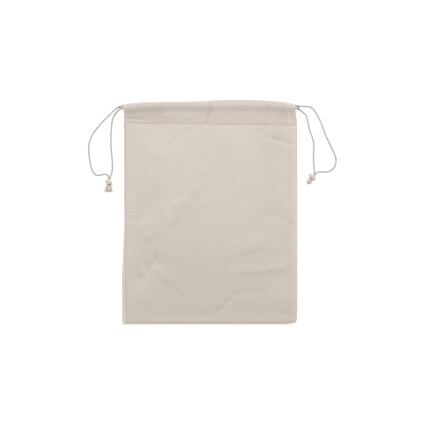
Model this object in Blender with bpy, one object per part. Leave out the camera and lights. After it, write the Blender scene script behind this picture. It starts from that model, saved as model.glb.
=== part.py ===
"""A cotton drawstring shoe bag lying on its back, in metres, +Z up, with its mouth towards +Y.

Two cloth panels are joined by seam allowances along the sides and the bottom. Above them the two casings are
folded round a double drawcord. The panels, casings and seams share one outline, one set of heights and one gap.
The origin is under the middle of the bag.
"""

import math

import bmesh
import bpy
import numpy as np

# Driving dimensions
BAG_WIDTH = 0.3115
BAG_HEIGHT = 0.3996
BAG_LOFT = 0.0135
CLOTH = 0.0010
GAP = 0.0003
SEAM_WIDTH = 0.0100
SEAM_THICKNESS = 0.0012
EDGE_ROLL = 0.0030
EDGE_RISE = 0.0650
BOTTOM_RISE = 0.1400
HEM_DEPTH = 0.0400
HEM_SLOPE = 0.0050
HEM_OVERLAP = 0.0050
HEM_BLEND = 0.0600
MOUTH_GAP = 0.0056
CORD_DIAMETER = 0.0030
CORD_SPACING = 0.0013
CORD_TURN_REACH = 0.1612
CREASE_DEPTH = 0.0014
CREASE_WIDTH = 0.0120
PUCKER_DEPTH = 0.0010
PUCKER_WIDTH = 0.0050
PUCKER_LENGTH = 0.0200
KNOT_LENGTH = 0.0230
KNOT_WIDTH = 0.0155
KNOT_HEIGHT = 0.0090

# Shares that shape the cloth and the knots
OFF_CENTRE = 0.00145
FRONT_BOTTOM_INSET = 0.009
CORNER_RISE = 0.006
FRONT_CORNER_RUN = 0.07
BACK_CORNER_RUN = 0.05
SLOPE_CLEARANCE = 0.3
PUCKER_RIDGE = 0.4
CREASE_FADE = 0.3
CREASE_START = 0.25
KNOT_LUMP = 0.10
KNOT_LOBES = 3
KNOT_TWIST = 5.0

# Sizes that follow from the driving ones
SIDE_SHIFT = OFF_CENTRE * BAG_WIDTH
BOTTOM_Y = -BAG_HEIGHT / 2
EDGE_LEVEL = CLOTH + GAP
SEAM_TOP = EDGE_LEVEL + SEAM_THICKNESS
SEAM_LEVEL = SEAM_TOP + GAP + CLOTH
FLAT_CASING = 2 * CLOTH + GAP
CORD_ROOM = CORD_DIAMETER + 2 * GAP
ROUND_CASING = 2 * CLOTH + CORD_ROOM
FIRST_TRACK = ROUND_CASING / 2
SECOND_TRACK = FIRST_TRACK + CORD_DIAMETER + CORD_SPACING
ROLL_END = SECOND_TRACK + CORD_DIAMETER / 2 + GAP
OPEN_LEVEL = ROUND_CASING + MOUTH_GAP
CORD_STEP = 2.6 * CORD_DIAMETER

# How finely the cloth, the cords and the knots are divided
ACROSS_STEPS = 26
UP_STEPS = 30
ROLL_STEPS = 3
FOLD_STEPS = 4
BACK_ACROSS_STEPS = 8
BACK_UP_STEPS = 14
CASING_STEPS = 16
SEAM_STEPS = 11
TURN_STEPS = 4
ROUTE_STEPS = 24
KNOT_SIDES = 14

# Share of the bag's height, then how far each edge lies inside the bag's width, as shares of that width
FRONT_EDGES = (
    # height, left, right
    (0.000, 0.026, 0.014),
    (0.020, 0.021, 0.004),
    (0.060, 0.020, 0.001),
    (0.500, 0.020, 0.002),
    (0.860, 0.019, 0.001),
    (0.915, 0.017, 0.003),
    (0.940, 0.015, 0.009),
    (0.965, 0.007, 0.011),
    (1.000, -0.003, 0.002),
)
BACK_EDGES = (
    # height, left, right
    (0.000, 0.004, 0.016),
    (0.018, 0.000, 0.006),
    (0.220, 0.000, 0.001),
    (0.330, 0.006, 0.002),
    (0.450, 0.013, 0.002),
    (0.560, 0.011, 0.002),
    (0.860, 0.010, 0.001),
    (0.915, 0.013, 0.003),
    (0.940, 0.013, 0.009),
    (0.965, 0.007, 0.011),
    (1.000, -0.003, 0.002),
)

# Share of the way across, then how far the top edges and the stitched line lie below the top, as shares of the hem
HEM_LINES = (
    # across, front top, back top, stitched line
    (0.000, 0.200, 0.205, 1.00),
    (0.060, 0.140, 0.150, 1.01),
    (0.130, 0.098, 0.110, 1.02),
    (0.330, 0.080, 0.085, 1.04),
    (0.450, 0.075, 0.045, 1.05),
    (0.560, 0.065, 0.005, 1.06),
    (0.740, 0.060, 0.000, 1.08),
    (0.860, 0.090, 0.035, 1.10),
    (0.950, 0.134, 0.100, 1.12),
    (1.000, 0.190, 0.190, 1.13),
)

# How far the mouth stands open along the hem, as a share of its gap
MOUTH_OPENING = (
    # across, open
    (0.000, 0.000),
    (0.050, 0.000),
    (0.140, 0.180),
    (0.240, 0.700),
    (0.330, 1.000),
    (0.800, 1.000),
    (0.860, 0.800),
    (0.920, 0.300),
    (0.965, 0.000),
    (1.000, 0.000),
)

# Gathers in the hem, where the cord draws the cloth together
PUCKERS = (
    # across, depth, width
    (0.500, 1.00, 1.00),
    (0.838, 0.80, 0.90),
)

# Creases of the front: a run across and up the bag, then its depth and width as shares of the crease sizes.
# A negative depth is a ridge.
CREASES = (
    # across 1, up 1, across 2, up 2, depth, width
    (0.79, 0.871, 0.90, 0.855, 0.60, 0.60),
    (0.81, 0.838, 0.98, 0.808, 0.90, 0.60),
    (0.47, 0.555, 0.28, 0.461, -0.90, 1.70),
    (0.28, 0.461, 0.15, 0.388, -0.80, 1.50),
    (0.15, 0.388, 0.02, 0.347, -0.70, 1.30),
    (0.78, 0.501, 0.87, 0.514, 0.50, 0.80),
    (0.88, 0.508, 0.96, 0.461, 0.60, 0.70),
    (0.69, 0.307, 0.78, 0.334, 0.60, 0.90),
    (0.78, 0.334, 0.84, 0.314, 0.60, 0.80),
    (0.56, 0.287, 0.64, 0.267, 0.50, 0.80),
    (0.64, 0.220, 0.99, 0.254, -0.80, 0.80),
    (0.16, 0.222, 0.40, 0.154, -0.70, 0.70),
    (0.03, 0.225, 0.15, 0.205, 0.70, 1.20),
    (0.51, 0.047, 0.65, 0.140, 0.80, 0.70),
    (0.65, 0.140, 0.90, 0.170, 0.60, 0.70),
    (0.02, 0.271, 0.98, 0.271, 0.25, 0.40),
)

# Outline of a knot along its length, as shares of its length, width and height
KNOT_SECTIONS = (
    # along, width, height, sideways
    (0.00, 0.40, 0.36, 0.00),
    (0.10, 0.58, 0.62, 0.00),
    (0.22, 0.80, 0.92, -0.02),
    (0.34, 0.88, 1.00, 0.00),
    (0.46, 0.76, 0.88, 0.03),
    (0.56, 0.62, 0.62, 0.02),
    (0.68, 0.78, 0.56, -0.02),
    (0.82, 0.96, 0.50, -0.04),
    (0.93, 1.00, 0.40, -0.03),
    (1.00, 0.90, 0.30, -0.02),
)

# Where each knot starts, the way it points from there in degrees from +X, and its length as a share of a knot's
KNOTS = {
    "left_knot": ((-0.1780, 0.0590), -91.0, 1.00),
    "right_knot": ((0.1870, 0.0665), -117.0, 0.87),
}

# The free strands, from the point after the casing to the last point before the knot
STRAND_ROUTES = {
    "left_back_strand": (
        (-0.1625, 0.1872, 0.0024),
        (-0.1705, 0.1809, 0.0015),
        (-0.1795, 0.1717, 0.0015),
        (-0.1914, 0.1598, 0.0015),
        (-0.2021, 0.1468, 0.0015),
        (-0.2098, 0.1354, 0.0015),
        (-0.2140, 0.1217, 0.0015),
        (-0.2145, 0.1085, 0.0015),
        (-0.2128, 0.0930, 0.0015),
        (-0.2095, 0.0785, 0.0015),
        (-0.2034, 0.0680, 0.0015),
        (-0.1958, 0.0662, 0.0015),
        (-0.1868, 0.0680, 0.0015),
        (-0.1822, 0.0668, 0.0015),
    ),
    "left_front_strand": (
        (-0.1616, 0.1810, 0.0072),
        (-0.1662, 0.1765, 0.0042),
        (-0.1702, 0.1706, 0.0017),
        (-0.1730, 0.1610, 0.0015),
        (-0.1745, 0.1468, 0.0015),
        (-0.1752, 0.1313, 0.0015),
        (-0.1750, 0.1181, 0.0015),
        (-0.1740, 0.1049, 0.0015),
        (-0.1727, 0.0919, 0.0015),
        (-0.1723, 0.0805, 0.0015),
        (-0.1737, 0.0700, 0.0015),
    ),
    "right_front_strand": (
        (0.1660, 0.1884, 0.0072),
        (0.1712, 0.1886, 0.0040),
        (0.1765, 0.1884, 0.0017),
        (0.1822, 0.1864, 0.0015),
        (0.1879, 0.1805, 0.0015),
        (0.1975, 0.1633, 0.0015),
        (0.2069, 0.1384, 0.0015),
        (0.2153, 0.1204, 0.0015),
        (0.2231, 0.1039, 0.0015),
        (0.2258, 0.0912, 0.0015),
        (0.2213, 0.0785, 0.0015),
        (0.2107, 0.0724, 0.0015),
        (0.1985, 0.0722, 0.0015),
        (0.1938, 0.0715, 0.0015),
    ),
    "right_back_strand": (
        (0.1625, 0.1812, 0.0024),
        (0.1676, 0.1777, 0.0015),
        (0.1722, 0.1725, 0.0015),
        (0.1752, 0.1633, 0.0015),
        (0.1785, 0.1478, 0.0015),
        (0.1846, 0.1300, 0.0015),
        (0.1861, 0.1181, 0.0015),
        (0.1857, 0.1014, 0.0015),
        (0.1861, 0.0836, 0.0015),
        (0.1872, 0.0745, 0.0015),
    ),
}


def clear_scene():
    """Removes whatever the scene starts with."""
    for item in list(bpy.data.objects):
        bpy.data.objects.remove(item, do_unlink=True)


def plain_material(name, colour, roughness):
    """A cloth or cord colour with no shine."""
    material = bpy.data.materials.new(name)
    material.use_nodes = True
    shader = material.node_tree.nodes["Principled BSDF"]
    shader.inputs["Base Color"].default_value = (*colour, 1.0)
    shader.inputs["Roughness"].default_value = roughness
    shader.inputs["Metallic"].default_value = 0.0
    material.diffuse_color = (*colour, 1.0)
    return material


def column(table, share, index):
    """The value of one column of a table at a share along its first column."""
    return float(np.interp(share, [row[0] for row in table], [row[index] for row in table]))


def eased(value):
    """Goes from 0 to 1 with level ends."""
    value = min(max(value, 0.0), 1.0)
    return value * value * (3.0 - 2.0 * value)


def mix(first, second, share):
    """A value at a share of the way from the first one to the second."""
    return first + (second - first) * share


def edge_x(table, y, side):
    """x of a panel's left (-1) or right (+1) edge at one height on the bag."""
    inset = column(table, (y - BOTTOM_Y) / BAG_HEIGHT, 1 if side < 0 else 2) * BAG_WIDTH
    return SIDE_SHIFT + side * (BAG_WIDTH / 2 - inset)


def across_x(table, y, share):
    """x at a share of the way from the left edge to the right one."""
    return mix(edge_x(table, y, -1), edge_x(table, y, 1), share)


def hem_y(share, index):
    """y of the front top (1), the back top (2) or the stitched line (3)."""
    return BAG_HEIGHT / 2 - column(HEM_LINES, share, index) * HEM_DEPTH


def fold_share(depth):
    """1 where the casing stands round over the cords, falling to 0 where its two walls lie flat."""
    return 1.0 - eased((depth - ROLL_END) / HEM_SLOPE)


def pucker(share):
    """Dip of the gathers, with a lower ridge on each side of each dip."""
    total = 0.0
    for place, depth, width in PUCKERS:
        offset = (share - place) * BAG_WIDTH / (width * PUCKER_WIDTH)
        ridges = math.exp(-((offset - 2.0) ** 2)) + math.exp(-((offset + 2.0) ** 2))
        total += depth * PUCKER_DEPTH * (PUCKER_RIDGE * ridges - math.exp(-(offset**2)))
    return total


def front_casing_base(share, depth):
    """Lowest face of the front casing: on the back casing at the corners, and lifted along the open mouth."""
    behind = hem_y(share, 2) - hem_y(share, 1)
    over_fold = fold_share(depth + min(behind, 0.0) - SLOPE_CLEARANCE * HEM_SLOPE)
    over_back = mix(FLAT_CASING, ROUND_CASING, over_fold) + GAP
    level = mix(over_back, OPEN_LEVEL, eased(column(MOUTH_OPENING, share, 1)))
    return level + pucker(share) * (1.0 - fold_share(depth))


def crease(x, y):
    """Depth of the creases at a point of the front."""
    total = 0.0
    for across_1, up_1, across_2, up_2, depth, width in CREASES:
        start = np.array((across_1 * BAG_WIDTH, up_1 * BAG_HEIGHT))
        run = np.array((across_2 * BAG_WIDTH, up_2 * BAG_HEIGHT)) - start
        point = np.array((x - SIDE_SHIFT + BAG_WIDTH / 2, y - BOTTOM_Y)) - start
        along = float(point @ run) / float(run @ run)
        aside = float(point[0] * run[1] - point[1] * run[0]) / math.hypot(*run)
        fade = eased(0.5 + along / CREASE_FADE) * eased(0.5 + (1.0 - along) / CREASE_FADE)
        total += depth * CREASE_DEPTH * fade * math.exp(-((aside / (width * CREASE_WIDTH)) ** 2))
    return total


def front_level(x, y, share):
    """Height of the front's outer face, before its edges roll down."""
    inside = min(x - edge_x(FRONT_EDGES, y, -1), edge_x(FRONT_EDGES, y, 1) - x)
    above = y - front_bottom(share)
    past_sides = inside - EDGE_ROLL - SEAM_WIDTH
    past_bottom = above - EDGE_ROLL - SEAM_WIDTH
    rise = eased(past_sides / EDGE_RISE) * eased(past_bottom / BOTTOM_RISE)
    body = SEAM_LEVEL + (BAG_LOFT - SEAM_LEVEL) * rise
    hem_top = hem_y(share, 1)
    stitched = hem_y(share, 3)
    hem_level = front_casing_base(share, hem_top - stitched) + FLAT_CASING
    below_hem = stitched - y
    plain_hem = hem_level - pucker(share) * (1.0 - math.exp(-below_hem / PUCKER_LENGTH))
    level = mix(body, plain_hem, eased(1.0 - below_hem / HEM_BLEND))
    clear_hem = eased((below_hem - HEM_OVERLAP) / (2 * HEM_OVERLAP))
    start_run = CREASE_START * EDGE_RISE
    clear_seams = eased(past_sides / start_run) * eased(past_bottom / start_run)
    return level - crease(x, y) * clear_hem * clear_seams


def front_bottom(share):
    """y of the front panel's lower edge, which lies a little above the back's."""
    corner = eased(1.0 - (1.0 - share) / FRONT_CORNER_RUN)
    return BOTTOM_Y + (FRONT_BOTTOM_INSET + CORNER_RISE * corner) * BAG_HEIGHT


def back_bottom(share):
    """y of the back panel's lower edge."""
    corner = eased(1.0 - (1.0 - share) / BACK_CORNER_RUN)
    return BOTTOM_Y + CORNER_RISE * corner * BAG_HEIGHT


def even_shares(steps):
    """Even shares between the rolled edges."""
    roll = EDGE_ROLL / BAG_WIDTH
    return [float(share) for share in np.linspace(roll, 1.0 - roll, steps + 1)]


def stations():
    """Shares across the bag where the front has a line of points, with extra ones at each gather."""
    extra = []
    for place, _, width in PUCKERS:
        extra += [place + step * width * PUCKER_WIDTH / BAG_WIDTH for step in (-2, -1, 0, 1, 2)]
    near = PUCKER_WIDTH / BAG_WIDTH / 2
    kept = [share for share in even_shares(ACROSS_STEPS) if all(abs(share - other) > near for other in extra)]
    return [0.0, *sorted(kept + extra), 1.0]


def back_stations():
    """Shares across the bag where the back casing and the cords in it have points."""
    return [0.0, *even_shares(CASING_STEPS), 1.0]


def sheet_solid(name, outer, inner, material):
    """A closed wall between two grids of points with the same rows and columns."""
    rows = len(outer)
    columns = len(outer[0])
    mesh = bmesh.new()
    first = [[mesh.verts.new(point) for point in row] for row in outer]
    second = [[mesh.verts.new(point) for point in row] for row in inner]
    for i in range(rows - 1):
        for j in range(columns - 1):
            mesh.faces.new((first[i][j], first[i][j + 1], first[i + 1][j + 1], first[i + 1][j]))
            mesh.faces.new((second[i][j], second[i + 1][j], second[i + 1][j + 1], second[i][j + 1]))
    border = [(0, j) for j in range(columns)] + [(i, columns - 1) for i in range(1, rows)]
    border += [(rows - 1, j) for j in range(columns - 2, -1, -1)] + [(i, 0) for i in range(rows - 2, 0, -1)]
    for (i, j), (k, m) in zip(border, border[1:] + border[:1]):
        mesh.faces.new((first[i][j], second[i][j], second[k][m], first[k][m]))
    return add_mesh(name, mesh, material)


def add_mesh(name, mesh, material):
    """Turns a closed mesh into a named object, with its faces out."""
    bmesh.ops.triangulate(mesh, faces=mesh.faces)
    if mesh.calc_volume(signed=True) < 0:
        bmesh.ops.reverse_faces(mesh, faces=mesh.faces)
    data = bpy.data.meshes.new(name)
    mesh.to_mesh(data)
    mesh.free()
    data.materials.append(material)
    data.shade_smooth()
    data.set_sharp_from_angle(angle=math.radians(50))
    item = bpy.data.objects.new(name, data)
    bpy.context.collection.objects.link(item)
    return item


def front_panel(material):
    """The front, crowned and creased, with its edges rolled down to the back panel."""
    turn = [math.radians(90 * step / ROLL_STEPS) for step in range(ROLL_STEPS)]
    flat = math.radians(90)
    shares = stations()[1:-1]
    columns = [("left", angle, 0.0) for angle in turn] + [("", flat, share) for share in shares]
    columns += [("right", angle, 1.0) for angle in reversed(turn)]
    ups = [("roll", angle, 0.0) for angle in turn]
    ups += [("share", flat, step / UP_STEPS) for step in range(UP_STEPS)]
    ups += [("overlap", flat, 0.0), ("stitched", flat, 0.0)]
    outer = []
    inner = []
    for kind, up_angle, up_share in ups:
        pair = [[], []]
        for side, angle, share in columns:
            bottom = front_bottom(share)
            stitched = hem_y(share, 3) - GAP / 2
            last = stitched - HEM_OVERLAP
            for layer, points in enumerate(pair):
                wall = CLOTH * layer
                reach = wall + (EDGE_ROLL - wall) * (1.0 - math.cos(up_angle))
                y = {
                    "roll": bottom + reach,
                    "share": mix(bottom + EDGE_ROLL, last, up_share),
                    "overlap": last,
                    "stitched": stitched,
                }[kind]
                rolled = eased((stitched - y - HEM_OVERLAP) / (2 * HEM_OVERLAP))
                inset = wall * rolled
                inset += (EDGE_ROLL - inset) * (1.0 - math.cos(angle))
                x = across_x(FRONT_EDGES, y, share)
                x += {"left": inset, "right": -inset, "": 0.0}[side]
                level = front_level(x, y, share) - wall
                height = math.sin(up_angle) * mix(1.0, math.sin(angle), rolled)
                points.append((x, y, mix(EDGE_LEVEL, level, height)))
        outer.append(pair[0])
        inner.append(pair[1])
    return sheet_solid("front_panel", outer, inner, material)


def back_panel(material):
    """The back, flat on the surface, up to its casing's stitched line."""
    shares = np.linspace(0.0, 1.0, BACK_ACROSS_STEPS + 1)
    top = []
    bottom = []
    for up in np.linspace(0.0, 1.0, BACK_UP_STEPS + 1):
        row = []
        for share in shares:
            y = mix(back_bottom(share), hem_y(share, 3) - GAP / 2, up)
            row.append((across_x(BACK_EDGES, y, share), y))
        top.append([(x, y, CLOTH) for x, y in row])
        bottom.append([(x, y, 0.0) for x, y in row])
    return sheet_solid("back_panel", top, bottom, material)


def casing_section(top, stitched, base, upper_end, lower_end):
    """Outer and inner rows (y, z) of a casing: up the upper wall, round the fold and down the lower wall.

    base gives the lowest face at a depth below the top edge. upper_end and lower_end are (y, z of the outer face)
    where each wall stops, or None where it stops at the stitched line.
    """
    radius = ROUND_CASING / 2
    depth = top - stitched
    flat_depth = ROLL_END + HEM_SLOPE
    upper_last = upper_end or (stitched, base(depth) + FLAT_CASING)
    lower_last = lower_end or (stitched, base(depth))
    outer = [upper_last]
    inner = [(upper_last[0], upper_last[1] - CLOTH)]
    if upper_end:
        outer.append((stitched, base(depth) + FLAT_CASING))
        inner.append((stitched, base(depth) + FLAT_CASING - CLOTH))
    for level, height in ((flat_depth, FLAT_CASING), (ROLL_END, ROUND_CASING)):
        outer.append((top - level, base(level) + height))
        inner.append((top - level, base(level) + height - CLOTH))
    for step in range(FOLD_STEPS + 1):
        angle = math.radians(90 - 180 * step / FOLD_STEPS)
        middle = base(radius) + radius
        outer.append((top - radius + radius * math.cos(angle), middle + radius * math.sin(angle)))
        short = radius - CLOTH
        inner.append((top - radius + short * math.cos(angle), middle + short * math.sin(angle)))
    for level in (ROLL_END, flat_depth):
        outer.append((top - level, base(level)))
        inner.append((top - level, base(level) + CLOTH))
    if lower_end:
        outer.append((stitched, base(depth)))
        inner.append((stitched, base(depth) + CLOTH))
    outer.append(lower_last)
    inner.append((lower_last[0], lower_last[1] + CLOTH))
    return outer, inner


def front_casing(material):
    """The front's hem. Its lower wall is the turned-in cloth, which reaches in under the panel."""
    outer = []
    inner = []
    for share in stations():
        stitched = hem_y(share, 3) + GAP / 2
        end_y = stitched - HEM_OVERLAP
        under_panel = front_level(across_x(FRONT_EDGES, end_y, share), end_y, share) - FLAT_CASING
        rows = casing_section(
            hem_y(share, 1),
            stitched,
            lambda depth: front_casing_base(share, depth),
            None,
            (end_y, under_panel),
        )
        for grid, row in zip((outer, inner), rows):
            grid.append([(across_x(FRONT_EDGES, y, share), y, z) for y, z in row])
    return sheet_solid("front_casing", outer, inner, material)


def back_casing(material):
    """The back's hem, flat underneath. Its upper wall is the turned-in cloth, which reaches over the panel."""
    outer = []
    inner = []
    for share in back_stations():
        stitched = hem_y(share, 3) + GAP / 2
        rows = casing_section(
            hem_y(share, 2),
            stitched,
            lambda depth: 0.0,
            (stitched - HEM_OVERLAP, FLAT_CASING),
            None,
        )
        for grid, row in zip((outer, inner), rows):
            grid.append([(across_x(BACK_EDGES, y, share), y, z) for y, z in row])
    return sheet_solid("back_casing", outer, inner, material)


def seam_strip(name, line, material):
    """A flat allowance between the panels. line gives its outer and inner edge (x, y) at each row."""
    top = [[(x, y, SEAM_TOP) for x, y in row] for row in line]
    bottom = [[(x, y, EDGE_LEVEL) for x, y in row] for row in line]
    return sheet_solid(name, top, bottom, material)


def seams(material):
    """The allowances along both sides and the bottom, inside the rolled edges."""
    for name, side, share in (("left_seam", -1, 0.0), ("right_seam", 1, 1.0)):
        low = front_bottom(share) + EDGE_ROLL
        high = hem_y(share, 3) - HEM_OVERLAP - GAP
        line = []
        for y in np.linspace(low, high, SEAM_STEPS + 1):
            x = edge_x(FRONT_EDGES, y, side) - side * EDGE_ROLL
            line.append([(x, y), (x - side * SEAM_WIDTH, y)])
        seam_strip(name, line, material)
    line = []
    for along in np.linspace(0.0, 1.0, SEAM_STEPS + 1):
        ends = []
        for up in (EDGE_ROLL, EDGE_ROLL + SEAM_WIDTH):
            y = BOTTOM_Y + up
            inset = EDGE_ROLL + SEAM_WIDTH + GAP
            left = edge_x(FRONT_EDGES, y, -1) + inset
            right = edge_x(FRONT_EDGES, y, 1) - inset
            x = mix(left, right, along)
            share = (x - left + inset) / (right - left + 2 * inset)
            ends.append((x, front_bottom(share) + up))
        line.append(ends)
    seam_strip("bottom_seam", line, material)


def smooth_route(points, step):
    """Points at even steps along a smooth curve through a route's own points."""
    route = np.array(points, dtype=float)
    guide = np.vstack((2 * route[0] - route[1], route, 2 * route[-1] - route[-2]))
    dense = []
    for index in range(1, len(guide) - 2):
        before, start, end, after = guide[index - 1 : index + 3]
        for part in np.linspace(0.0, 1.0, ROUTE_STEPS, endpoint=False):
            square = part * part
            cube = square * part
            dense.append(
                0.5
                * (
                    2 * start
                    + (end - before) * part
                    + (2 * before - 5 * start + 4 * end - after) * square
                    + (3 * start - before - 3 * end + after) * cube
                )
            )
    dense.append(route[-1])
    dense = np.array(dense)
    along = np.concatenate(([0.0], np.cumsum(np.linalg.norm(np.diff(dense, axis=0), axis=1))))
    count = max(2, round(along[-1] / step) + 1)
    even = np.linspace(0.0, along[-1], count)
    return np.stack([np.interp(even, along, dense[:, axis]) for axis in range(3)], axis=1)


def cord_tube(name, points, resolution, material):
    """A round cord along its points, with closed ends."""
    data = bpy.data.curves.new(name, "CURVE")
    data.dimensions = "3D"
    data.bevel_depth = CORD_DIAMETER / 2
    data.bevel_resolution = resolution
    data.use_fill_caps = True
    spline = data.splines.new("POLY")
    spline.points.add(len(points) - 1)
    for target, point in zip(spline.points, points):
        target.co = (*point, 1.0)
    spline.use_smooth = True
    data.materials.append(material)
    item = bpy.data.objects.new(name, data)
    bpy.context.collection.objects.link(item)
    return item


def track_point(layer, track, share):
    """Middle of a cord inside the front (1) or back (2) casing, at a track's depth below the top edge."""
    table = FRONT_EDGES if layer == 1 else BACK_EDGES
    y = hem_y(share, layer) - track
    base = front_casing_base(share, track) if layer == 1 else 0.0
    return (across_x(table, y, share), y, base + ROUND_CASING / 2)


def held_cord(name, exit_share, front_track, back_track, material):
    """A drawcord's stretch in the casings: in through the front, round the far corner and out of the back."""
    far_share = 1.0 - exit_share
    side = 1.0 if far_share > exit_share else -1.0
    front_shares = stations()
    back_shares = back_stations()
    if far_share < exit_share:
        front_shares = front_shares[::-1]
    else:
        back_shares = back_shares[::-1]
    start = track_point(1, front_track, far_share)
    end = track_point(2, back_track, far_share)
    turn = []
    for step in range(1, TURN_STEPS):
        angle = math.pi * step / TURN_STEPS
        share = (1.0 - math.cos(angle)) / 2
        x_start = mix(start[0], end[0], share)
        reach = side * (CORD_TURN_REACH - CORD_DIAMETER / 2) - x_start
        x = x_start + reach * math.sin(angle)
        turn.append((x, mix(start[1], end[1], share), mix(start[2], end[2], share)))
    points = [track_point(1, front_track, share) for share in front_shares]
    points += turn
    points += [track_point(2, back_track, share) for share in back_shares]
    cord_tube(name, points, 1, material)


def free_strand(name, layer, exit_share, track, material):
    """A free strand from the casing's open end, along its route, to its knot."""
    side = 1.0 if exit_share > 0.5 else -1.0
    held_end = np.array(track_point(layer, track, exit_share))
    start = held_end + np.array((side * GAP, 0.0, 0.0))
    straight = start + np.array((side * CORD_DIAMETER, 0.0, 0.0))
    knot_start, heading, _ = KNOTS["left_knot" if side < 0 else "right_knot"]
    route = [start, straight, *STRAND_ROUTES[name], *knot_end(name, knot_start, heading)]
    points = smooth_route(route, CORD_STEP)
    points[:, 2] = np.maximum(points[:, 2], CORD_DIAMETER / 2)
    cord_tube(name, points, 2, material)


def knot_end(name, start, heading):
    """The short straight run in which a strand meets its knot, beside the other strand."""
    outer = name in ("left_back_strand", "right_front_strand")
    left = name.startswith("left")
    angle = math.radians(heading)
    forward = np.array((math.cos(angle), math.sin(angle), 0.0))
    aside = np.array((-forward[1], forward[0], 0.0))
    sign = -1.0 if outer == left else 1.0
    reach = (CORD_DIAMETER + GAP) / 2
    floor = np.array((start[0], start[1], CORD_DIAMETER / 2))
    last = floor + aside * sign * reach - forward * GAP
    return [last - forward * 1.5 * CORD_DIAMETER, last]


def knot(name, material):
    """An overhand knot of two strands with its short frayed ends, drawn together into one form."""
    (start_x, start_y), heading, length = KNOTS[name]
    angle = math.radians(heading)
    forward = np.array((math.cos(angle), math.sin(angle), 0.0))
    aside = np.array((-forward[1], forward[0], 0.0))
    mesh = bmesh.new()
    rings = []
    for along, width, height, sideways in KNOT_SECTIONS:
        half_width = width * KNOT_WIDTH / 2
        half_height = height * KNOT_HEIGHT / 2
        middle = np.array((start_x, start_y, half_height)) + forward * along * length * KNOT_LENGTH
        middle = middle + aside * sideways * KNOT_WIDTH
        ring = []
        for step in range(KNOT_SIDES):
            turn = 2 * math.pi * (step + 0.5) / KNOT_SIDES
            lump = 1.0 + KNOT_LUMP * math.cos(KNOT_LOBES * turn + KNOT_TWIST * along)
            out = min(lump, 1.0) * half_width * math.cos(turn)
            up = half_height * math.sin(turn)
            ring.append(mesh.verts.new(middle + aside * out + np.array((0.0, 0.0, up))))
        rings.append(ring)
    for ring, after in zip(rings, rings[1:]):
        for step in range(KNOT_SIDES):
            follow = (step + 1) % KNOT_SIDES
            mesh.faces.new((ring[step], ring[follow], after[follow], after[step]))
    mesh.faces.new(rings[0][::-1])
    mesh.faces.new(rings[-1])
    return add_mesh(name, mesh, material)


def build():
    """Makes every piece of the bag."""
    clear_scene()
    front_cloth = plain_material("front_cotton", (0.66, 0.60, 0.54), 0.92)
    back_cloth = plain_material("back_cotton", (0.68, 0.64, 0.57), 0.92)
    hem_cloth = plain_material("hem_cotton", (0.60, 0.54, 0.48), 0.92)
    seam_cloth = plain_material("seam_cotton", (0.64, 0.56, 0.49), 0.94)
    cord = plain_material("cord_cotton", (0.64, 0.64, 0.58), 0.90)
    knot_cord = plain_material("knot_cotton", (0.62, 0.55, 0.49), 0.92)
    back_panel(back_cloth)
    seams(seam_cloth)
    front_panel(front_cloth)
    back_casing(hem_cloth)
    front_casing(hem_cloth)
    held_cord("left_cord_held", 0.0, SECOND_TRACK, FIRST_TRACK, cord)
    held_cord("right_cord_held", 1.0, FIRST_TRACK, SECOND_TRACK, cord)
    free_strand("left_front_strand", 1, 0.0, SECOND_TRACK, cord)
    free_strand("left_back_strand", 2, 0.0, FIRST_TRACK, cord)
    free_strand("right_front_strand", 1, 1.0, FIRST_TRACK, cord)
    free_strand("right_back_strand", 2, 1.0, SECOND_TRACK, cord)
    knot("left_knot", knot_cord)
    knot("right_knot", knot_cord)


build()
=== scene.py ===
"""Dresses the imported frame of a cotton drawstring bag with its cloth, hems, cords, knots and stitches.

Lengths are in metres. The bag lies on its back, mouth towards +Y, with the origin under its middle.
"""

import math

import bpy
import numpy as np
from bpy.props import FloatProperty, FloatVectorProperty, IntProperty, PointerProperty
from mathutils import Matrix, Vector


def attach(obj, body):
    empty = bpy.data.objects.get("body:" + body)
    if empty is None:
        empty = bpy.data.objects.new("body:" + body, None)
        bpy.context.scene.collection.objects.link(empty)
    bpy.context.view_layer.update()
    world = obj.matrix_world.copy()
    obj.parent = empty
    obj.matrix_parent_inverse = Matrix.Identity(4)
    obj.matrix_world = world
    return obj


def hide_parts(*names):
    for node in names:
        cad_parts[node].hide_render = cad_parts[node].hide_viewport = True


bl_info = {
    "name": "Cotton drawstring bag",
    "version": (1, 0, 0),
    "blender": (4, 5, 0),
    "location": "View3D > Sidebar > Bag",
    "description": "Makes the cloth, cords, knots and stitches of a drawstring bag over its packed frame",
    "category": "Add Mesh",
}

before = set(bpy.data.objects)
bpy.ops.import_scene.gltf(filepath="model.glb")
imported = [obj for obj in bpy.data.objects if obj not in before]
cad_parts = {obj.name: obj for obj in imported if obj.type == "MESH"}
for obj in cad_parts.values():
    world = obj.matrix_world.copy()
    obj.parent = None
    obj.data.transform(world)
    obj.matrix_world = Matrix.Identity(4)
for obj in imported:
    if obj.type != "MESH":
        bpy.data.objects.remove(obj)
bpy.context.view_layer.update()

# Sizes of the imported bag
BAG_WIDTH = 0.3115
BAG_HEIGHT = 0.3996
BAG_LOFT = 0.0135
CLOTH = 0.0010
GAP = 0.0003
SEAM_WIDTH = 0.0100
SEAM_THICKNESS = 0.0012
EDGE_ROLL = 0.0030
SIDE_ROLL = 0.0018
BOTTOM_ROLL = 0.0012
BOTTOM_DROP = 0.0021
BOTTOM_DROP_REACH = 0.045
THIN_CLOTH = 0.0007
EDGE_RISE = 0.0650
BOTTOM_RISE = 0.1400
HEM_DEPTH = 0.0400
HEM_CREST = 0.0065
HEM_SLOPE = 0.0125
HEM_BULGE = 0.0005
HEM_LIFT = 0.0020
CORNER_SLOPE = 0.0250
HEM_OVERLAP = 0.0050
HEM_BLEND = 0.0600
MOUTH_GAP = 0.0056
CORD_DIAMETER = 0.0030
CORD_SPACING = 0.0013
CORD_TURN_REACH = 0.1612
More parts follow.
